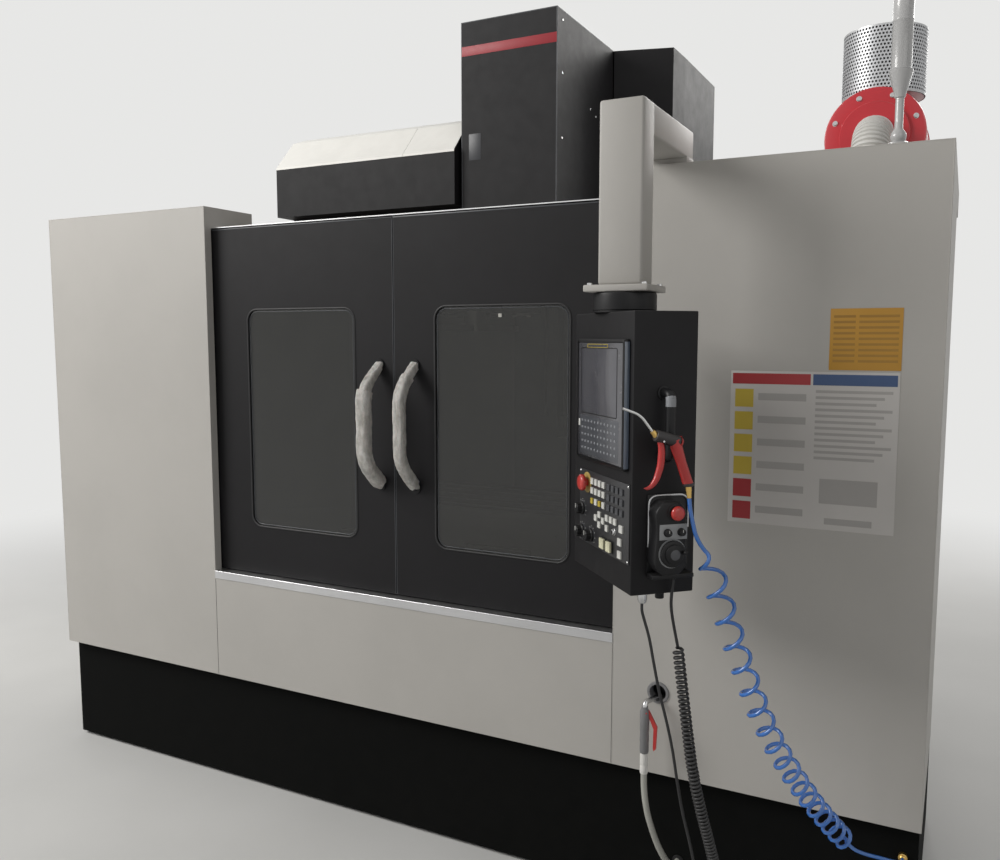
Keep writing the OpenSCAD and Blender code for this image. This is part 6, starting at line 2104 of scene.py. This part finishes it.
@dataclass
class MistCollector:
    """Red separator drum with its filter cage and corrugated duct."""

    x: float = 1327.0
    z: float = 2203.0
    y: Span = (600.0, 850.0)
    radius: float = 141.0
    cage: Span = (1336.0, 725.0)
    cage_radius: float = 118.0
    cage_z: Span = (2330.0, 2524.0)
    rim: float = 5.0
    duct_radius: float = 53.0
    duct_bend: float = 98.0
    duct_foot: float = 2060.0
    duct_steps: tuple[int, int] = (60, 18)
    rib_depth: float = 6.5
    bolt_circle: float = 119.0

    def build(self) -> None:
        """Builds the drum, cage and duct."""
        r, (y0, y1) = self.radius, self.y
        profile = [
            (0, -12), (95, -12), (97, -10), (97, -1), (r - 6, 0), (r - 1.5, 1.5), (r, 6), (r, 16),
            (r - 3, 18), (r - 3, y1 - y0 - 18), (r, y1 - y0 - 16), (r, y1 - y0 - 6),
            (r - 1.5, y1 - y0 - 1.5), (80, y1 - y0), (80, y1 - y0 + 56), (76, y1 - y0 + 60),
            (0, y1 - y0 + 60)]
        drum = Work.turned("mist_drum", (self.x, y0, self.z), Axis.Y, profile, sides=72)
        drum.seat("root", "collector_red", Finishes.DRUM_RED, replaces=("mist_collector",))
        neck = Work.rod(
            "mist_neck", (self.cage[0], self.cage[1], self.z + 100),
            (self.cage[0], self.cage[1], self.cage_z[0]), 80, sides=56)
        cradle = Work.block(
            "cradle", around(self.x, 60), (y0 + 40, y1 - 40), (2060, self.z - 116)).round(4)
        neck.join([cradle]).seat("root", "collector_red", Finishes.DRUM_RED)
        bolts = []
        for i in range(8):
            turn = math.radians(22.5 + 45 * i)
            at = (
                self.x + self.bolt_circle * math.cos(turn), y0,
                self.z + self.bolt_circle * math.sin(turn))
            profile = [(0, 5), (5, 5), (6.5, 3.8), (6.5, 0.6), (8.5, 0.4), (8.5, -0.4), (0, -0.4)]
            bolts.append(Work.turned("mist_bolts", at, Axis.FRONT, profile, sides=18))
        Work.merged("mist_bolts", bolts).seat("root", "fitting_metal", Finishes.CHROME)
        self.filter()
        self.duct()

    def filter(self) -> None:
        """Builds the perforated cage with its rims, lid and inner cartridge."""
        cx, cy = self.cage
        z0, z1 = self.cage_z
        r = self.cage_radius
        skin = Work.turned(
            "mist_cage", (cx, cy, 0), Axis.Z,
            [(r - 1.5, z0 + 4), (r, z0 + 4), (r, z1 - 4), (r - 1.5, z1 - 4), (r - 1.5, z0 + 4)],
            sides=96)
        finish = Perforated(
            "cage_mesh", (0.60, 0.61, 0.63), 0.45, metallic=0.45, dust=0.1, relief=0.05,
            axis=tuple(Place.MACHINE.point((cx, cy, 0))))
        skin.seat("root", "fitting_metal", finish)
        rims = [
            Work.turned(
                "mist_cage_rims", (cx, cy, z), Axis.Z,
                [(r - 4, 0), (r, 0), (r, self.rim), (r - 4, self.rim), (r - 4, 0)], sides=72)
            for z in (z0, z1 - self.rim)]
        base = Work.rod("base", (cx, cy, z0), (cx, cy, z0 + 2), r - 1, sides=72)
        lid = Work.turned(
            "lid", (cx, cy, z1 - 3), Axis.Z, [(0, 3), (r - 12, 3), (r - 2, 2), (r - 1, 0), (0, 0)],
            sides=72)
        rims[0].join([rims[1], base, lid]).seat("root", "fitting_metal", Finishes.CAGE_RIM)
        core = Work.turned(
            "mist_cartridge", (cx, cy, z0 + 2), Axis.Z,
            [(0, 0), (r - 22, 0), (r - 22, z1 - z0 - 8), (0, z1 - z0 - 8)], sides=120)

        def pleat(v: Vector) -> Vector:
            """Moves a vertex of the cartridge's wall onto its pleats.

            Args:
                v: The vertex's place, in millimetres.

            Returns:
                The new place.
            """
            out = Vector((v.x - cx, v.y - cy, 0))
            if out.length < 40:
                return v
            return v + out.normalized() * 4 * math.cos(40 * math.atan2(out.y, out.x))

        core.shape(pleat).seat("root", "hose_clear", Finishes.CARTRIDGE)

    def duct(self) -> None:
        """Builds the corrugated duct from the drum's front down through the roof."""
        bend, front, radius = self.duct_bend, self.y[0] - 12, self.duct_radius
        around_bend, down = self.duct_steps
        line = []
        for i in range(around_bend + 1):
            turn = math.radians(90 * i / around_bend)
            line.append(
                (self.x, front - bend * math.sin(turn), self.z - bend + bend * math.cos(turn)))
        _, y, z = line[-1]
        line += [(self.x, y, z - (z - self.duct_foot) * i / down) for i in range(1, down + 1)]
        radii = [radius - self.rib_depth if i % 4 == 0 else radius for i in range(len(line))]
        pipe = Work.pipe("mist_duct", line, 1, radii, sides=10)
        pipe.seat("root", "hose_clear", Finishes.DUCT, angle=28)
        inner, outer = radius - 3, radius + 1.6
        profile = [(inner, 0), (outer, 0), (outer, 9), (inner, 9), (inner, 0)]
        clamp = Work.turned(
            "mist_duct_clamp", (self.x, front - 7, self.z), Axis.Y, profile, sides=60)
        clamp.seat("root", "fitting_metal", Finishes.CHROME)


@dataclass
class SignalTower:
    """Grey tube on its funnel at the right front of the roof."""

    x: float = 1430.0
    y: float = 60.0
    z: float = 2060.0

    def build(self) -> None:
        """Builds the tower."""
        foot = Work.turned(
            "tower_foot", (self.x, self.y, self.z), Axis.Z,
            [
                (0, 0), (26, 0), (26, 9), (22, 12), (14, 13.5), (17.4, 20), (18, 26), (16.8, 33),
                (12, 40), (9.5, 44), (9.5, 114), (12, 116), (12.8, 122), (26.4, 172), (27, 177),
                (0, 177)],
            sides=48)
        foot.seat("root", "tower_grey", Finishes.TOWER, replaces=("signal_tower",))
        tube = Work.turned(
            "tower_tube", (self.x, self.y, self.z + 177), Axis.Z,
            [
                (0, 0), (24, 0), (24.6, 3), (23, 5), (23, 112), (23.6, 113), (23.6, 116), (23, 117),
                (23, 227), (23.6, 228), (23.6, 231), (23, 232), (23, 341), (20.6, 344), (20, 360),
                (17, 363), (0, 363)],
            sides=48)
        tube.seat("root", "tower_grey", Finishes.TOWER)


@dataclass
class Signs:
    """Two unprinted plates on the right front panel, as fields of colour."""

    ochre_x: Span = (1300.0, 1463.0)
    ochre_z: Span = (1531.0, 1680.0)
    sheet_x: Span = (1063.0, 1462.0)
    sheet_z: Span = (1133.0, 1526.0)

    rows: float = 13.5
    signs: float = 58.0

    def field(
            self, name: str, boxes: list[tuple[Span, Span]], finish: Finish,
            lift: float = 1.25) -> None:
        """Builds flat fields of one colour.

        Args:
            name: The fields' name.
            boxes: Each field's span across and up.
            finish: Their finish.
            lift: How far they stand off the panel.
        """
        made = [Work.block(name, x, (-lift, -lift + 0.35), z) for x, z in boxes]
        Work.merged(name, made).seat("root", "light_paint", finish)

    def plate(self, name: str, x: Span, z: Span, finish: Finish) -> None:
        """Builds one sign's plate."""
        Work.block(name, x, (-1, 0), z).round(0.3).seat("root", "light_paint", finish)

    def build(self) -> None:
        """Builds both plates."""
        self.plate("ochre_plate", self.ochre_x, self.ochre_z, Finishes.OCHRE)
        (x0, x1), top = self.ochre_x, self.ochre_z[1]
        lines = [(top - 22 - self.rows * i, top - 16 - self.rows * i) for i in range(9)]
        columns = ((x0 + 8, x0 + 58), (x0 + 66, x1 - 8))
        self.field("ochre_rows", [(x, z) for x in columns for z in lines], Finishes.OCHRE_DARK)
        self.plate("white_plate", self.sheet_x, self.sheet_z, Finishes.SHEET)
        (x0, x1), (low, top) = self.sheet_x, self.sheet_z
        middle, header = x0 + 199, (top - 33, top - 6)
        self.field("red_header", [((x0 + 5, middle - 3), header)], Finishes.HEAD_RED)
        self.field("blue_header", [((middle + 3, x1 - 5), header)], Finishes.HEAD_BLUE)
        squares = [
            ((x0 + 12, x0 + 58), (top - 92 - self.signs * i, top - 46 - self.signs * i))
            for i in range(6)]
        self.field("yellow_fields", squares[:4], Finishes.YELLOW)
        self.field("red_fields", squares[4:], Finishes.HEAD_RED)
        grey = [
            ((x0 + 70, middle - 12), (top - 74 - self.signs * i, top - 56 - self.signs * i))
            for i in range(6)]
        grey += [
            ((middle + 10, x1 - 14 - (i % 3) * 18), (top - 52 - 15 * i, top - 45 - 15 * i))
            for i in range(12)]
        grey += [
            ((middle + 26, x1 - 40), (low + 66, low + 128)),
            ((middle + 40, x1 - 50), (low + 14, low + 30))]
        self.field("grey_fields", grey, Finishes.FIELD, 1.2)


@dataclass
class EnclosureTrim:
    """Folded edges, seams, roof catches and screws of the panels, and the sill's nose."""

    half_width: float = 1555.0
    seam_x: float = 750.0
    z: Span = (400.0, 2060.0)

    def build(self) -> None:
        """Builds the panels' small parts."""
        w, s, (z0, z1) = self.half_width, self.seam_x, self.z
        upright = [((x, 1.4, z0 + 1), (x, 1.4, z1 - 1)) for x in (2 - w, -s - 2, s + 2, w - 2)]
        across = [
            ((a + 1, 1.4, z), (b - 1, 1.4, z)) for a, b,
            z in ((-w, -s, z1 - 1.6), (s, w, z1 - 1.6), (-w, w, z0 + 1.6))]
        folds = [Work.rod("fold", a, b, 1.9, sides=12) for a, b in upright + across]
        Work.merged("panel_folds", folds).seat("root", "light_paint", Finishes.LIGHT, angle=SMOOTH)
        seam = Work.block(
            "panel_seams", around(-s, 0.6), (-0.25, 0.2), (z0, 753)).copies([(2 * s, 0, 0)])
        seam.seat("root", "black_plastic", Finishes.RUBBER)
        catch = Work.block("roof_catch", (w - 22, w - 2), (258, 296), (z1, z1 + 14)).round(2)
        catch.copies([(0, 330, 0)]).seat("root", "fitting_metal", Finishes.CHROME)
        screw = Work.turned(
            "side_screws", (w, 60, 470), Axis.X, [(0, 0), (4.6, -0.1), (6, -0.9), (6, -2), (0, -2)],
            sides=16)
        screw.copies([(0, 260 * j, 365 * i) for j in range(3) for i in range(5) if i + j > 0])
        screw.seat("root", "fitting_metal", Finishes.CHROME)
        sill = Work.rod("sill_nose", (-s + 2, -0.6, 781.4), (s - 2, -0.6, 781.4), 2, sides=12)
        sill.seat("root", "bright_rail", Finishes.BRIGHT, angle=SMOOTH)


@dataclass
class RearUnits:
    """Fan and vents of the cabinet, and ribs and terminal box of the coolant pump."""

    cabinet_x: Span = (470.0, 1330.0)
    door_y: float = 2103.0
    pump: Span = (-1110.0, 2080.0)

    def build(self) -> None:
        """Builds the rear units' small parts."""
        x0, x1 = self.cabinet_x
        mid = (x0 + x1) / 2
        fan = Work.block(
            "cabinet_fan_frame", around(mid, 110), (self.door_y, self.door_y + 14), (1700, 1920))
        fan.pick(lambda c, n: n.y > 0.9).inset(14).inset(2).push((0, -8, 0))
        deselect()
        fan.round(1.5).seat("cabinet_door", "black_plastic", Finishes.PLASTIC)
        slat = Work.block(
            "cabinet_fan_slats", around(mid, 92), (self.door_y + 6, self.door_y + 12), (1718, 1722))
        slat.copies([(0, 0, 15 * i) for i in range(1, 12)]).seat(
            "cabinet_door", "black_plastic", Finishes.PLASTIC)
        vent = Work.block(
            "cabinet_vents", around(mid, 160), (self.door_y, self.door_y + 3), (700, 706)).round(1)
        vent.copies([(0, 0, 18 * i) for i in range(1, 9)]).seat(
            "cabinet_door", "light_paint", Finishes.LIGHT)
        ribs = Work.turned(
            "pump_motor_ribs", (self.pump[0], self.pump[1], 470), Axis.Z,
            [(70, 0), (80, 0), (80, 4), (70, 4), (70, 0)], sides=48)
        ribs.copies(
            [(0, 0, 13 * i) for i in range(1, 13)]).seat("root", "tank_steel", Finishes.PUMP)
        box = Work.block(
            "pump_terminal_box", around(self.pump[0], 34), (self.pump[1] - 128, self.pump[1] - 74),
            (540, 610)).round(4)
        box.seat("root", "tank_steel", Finishes.PUMP)


def main() -> None:
    """Builds the studio and every sub-assembly in order."""
    logging.basicConfig(level=logging.INFO, format="%(name)s: %(message)s")
    Studio().build()
    for finish, nodes in NODE_FINISHES.items():
        for node in nodes:
            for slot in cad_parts[node].material_slots:
                slot.material = finish.material()
    parts = (
        Hoses(), DoorHandles(), DoorTrim(), CoverTrim(), ArmCover(), PendantBody(), PendantFace(),
        HandwheelDetails(), AirGun(), WashGun(), MistCollector(), SignalTower(), Signs(),
        EnclosureTrim(), RearUnits())
    for part in parts:
        part.build()
        LOG.info("built %s", type(part).__name__)


if __name__ == "__main__":
    main()
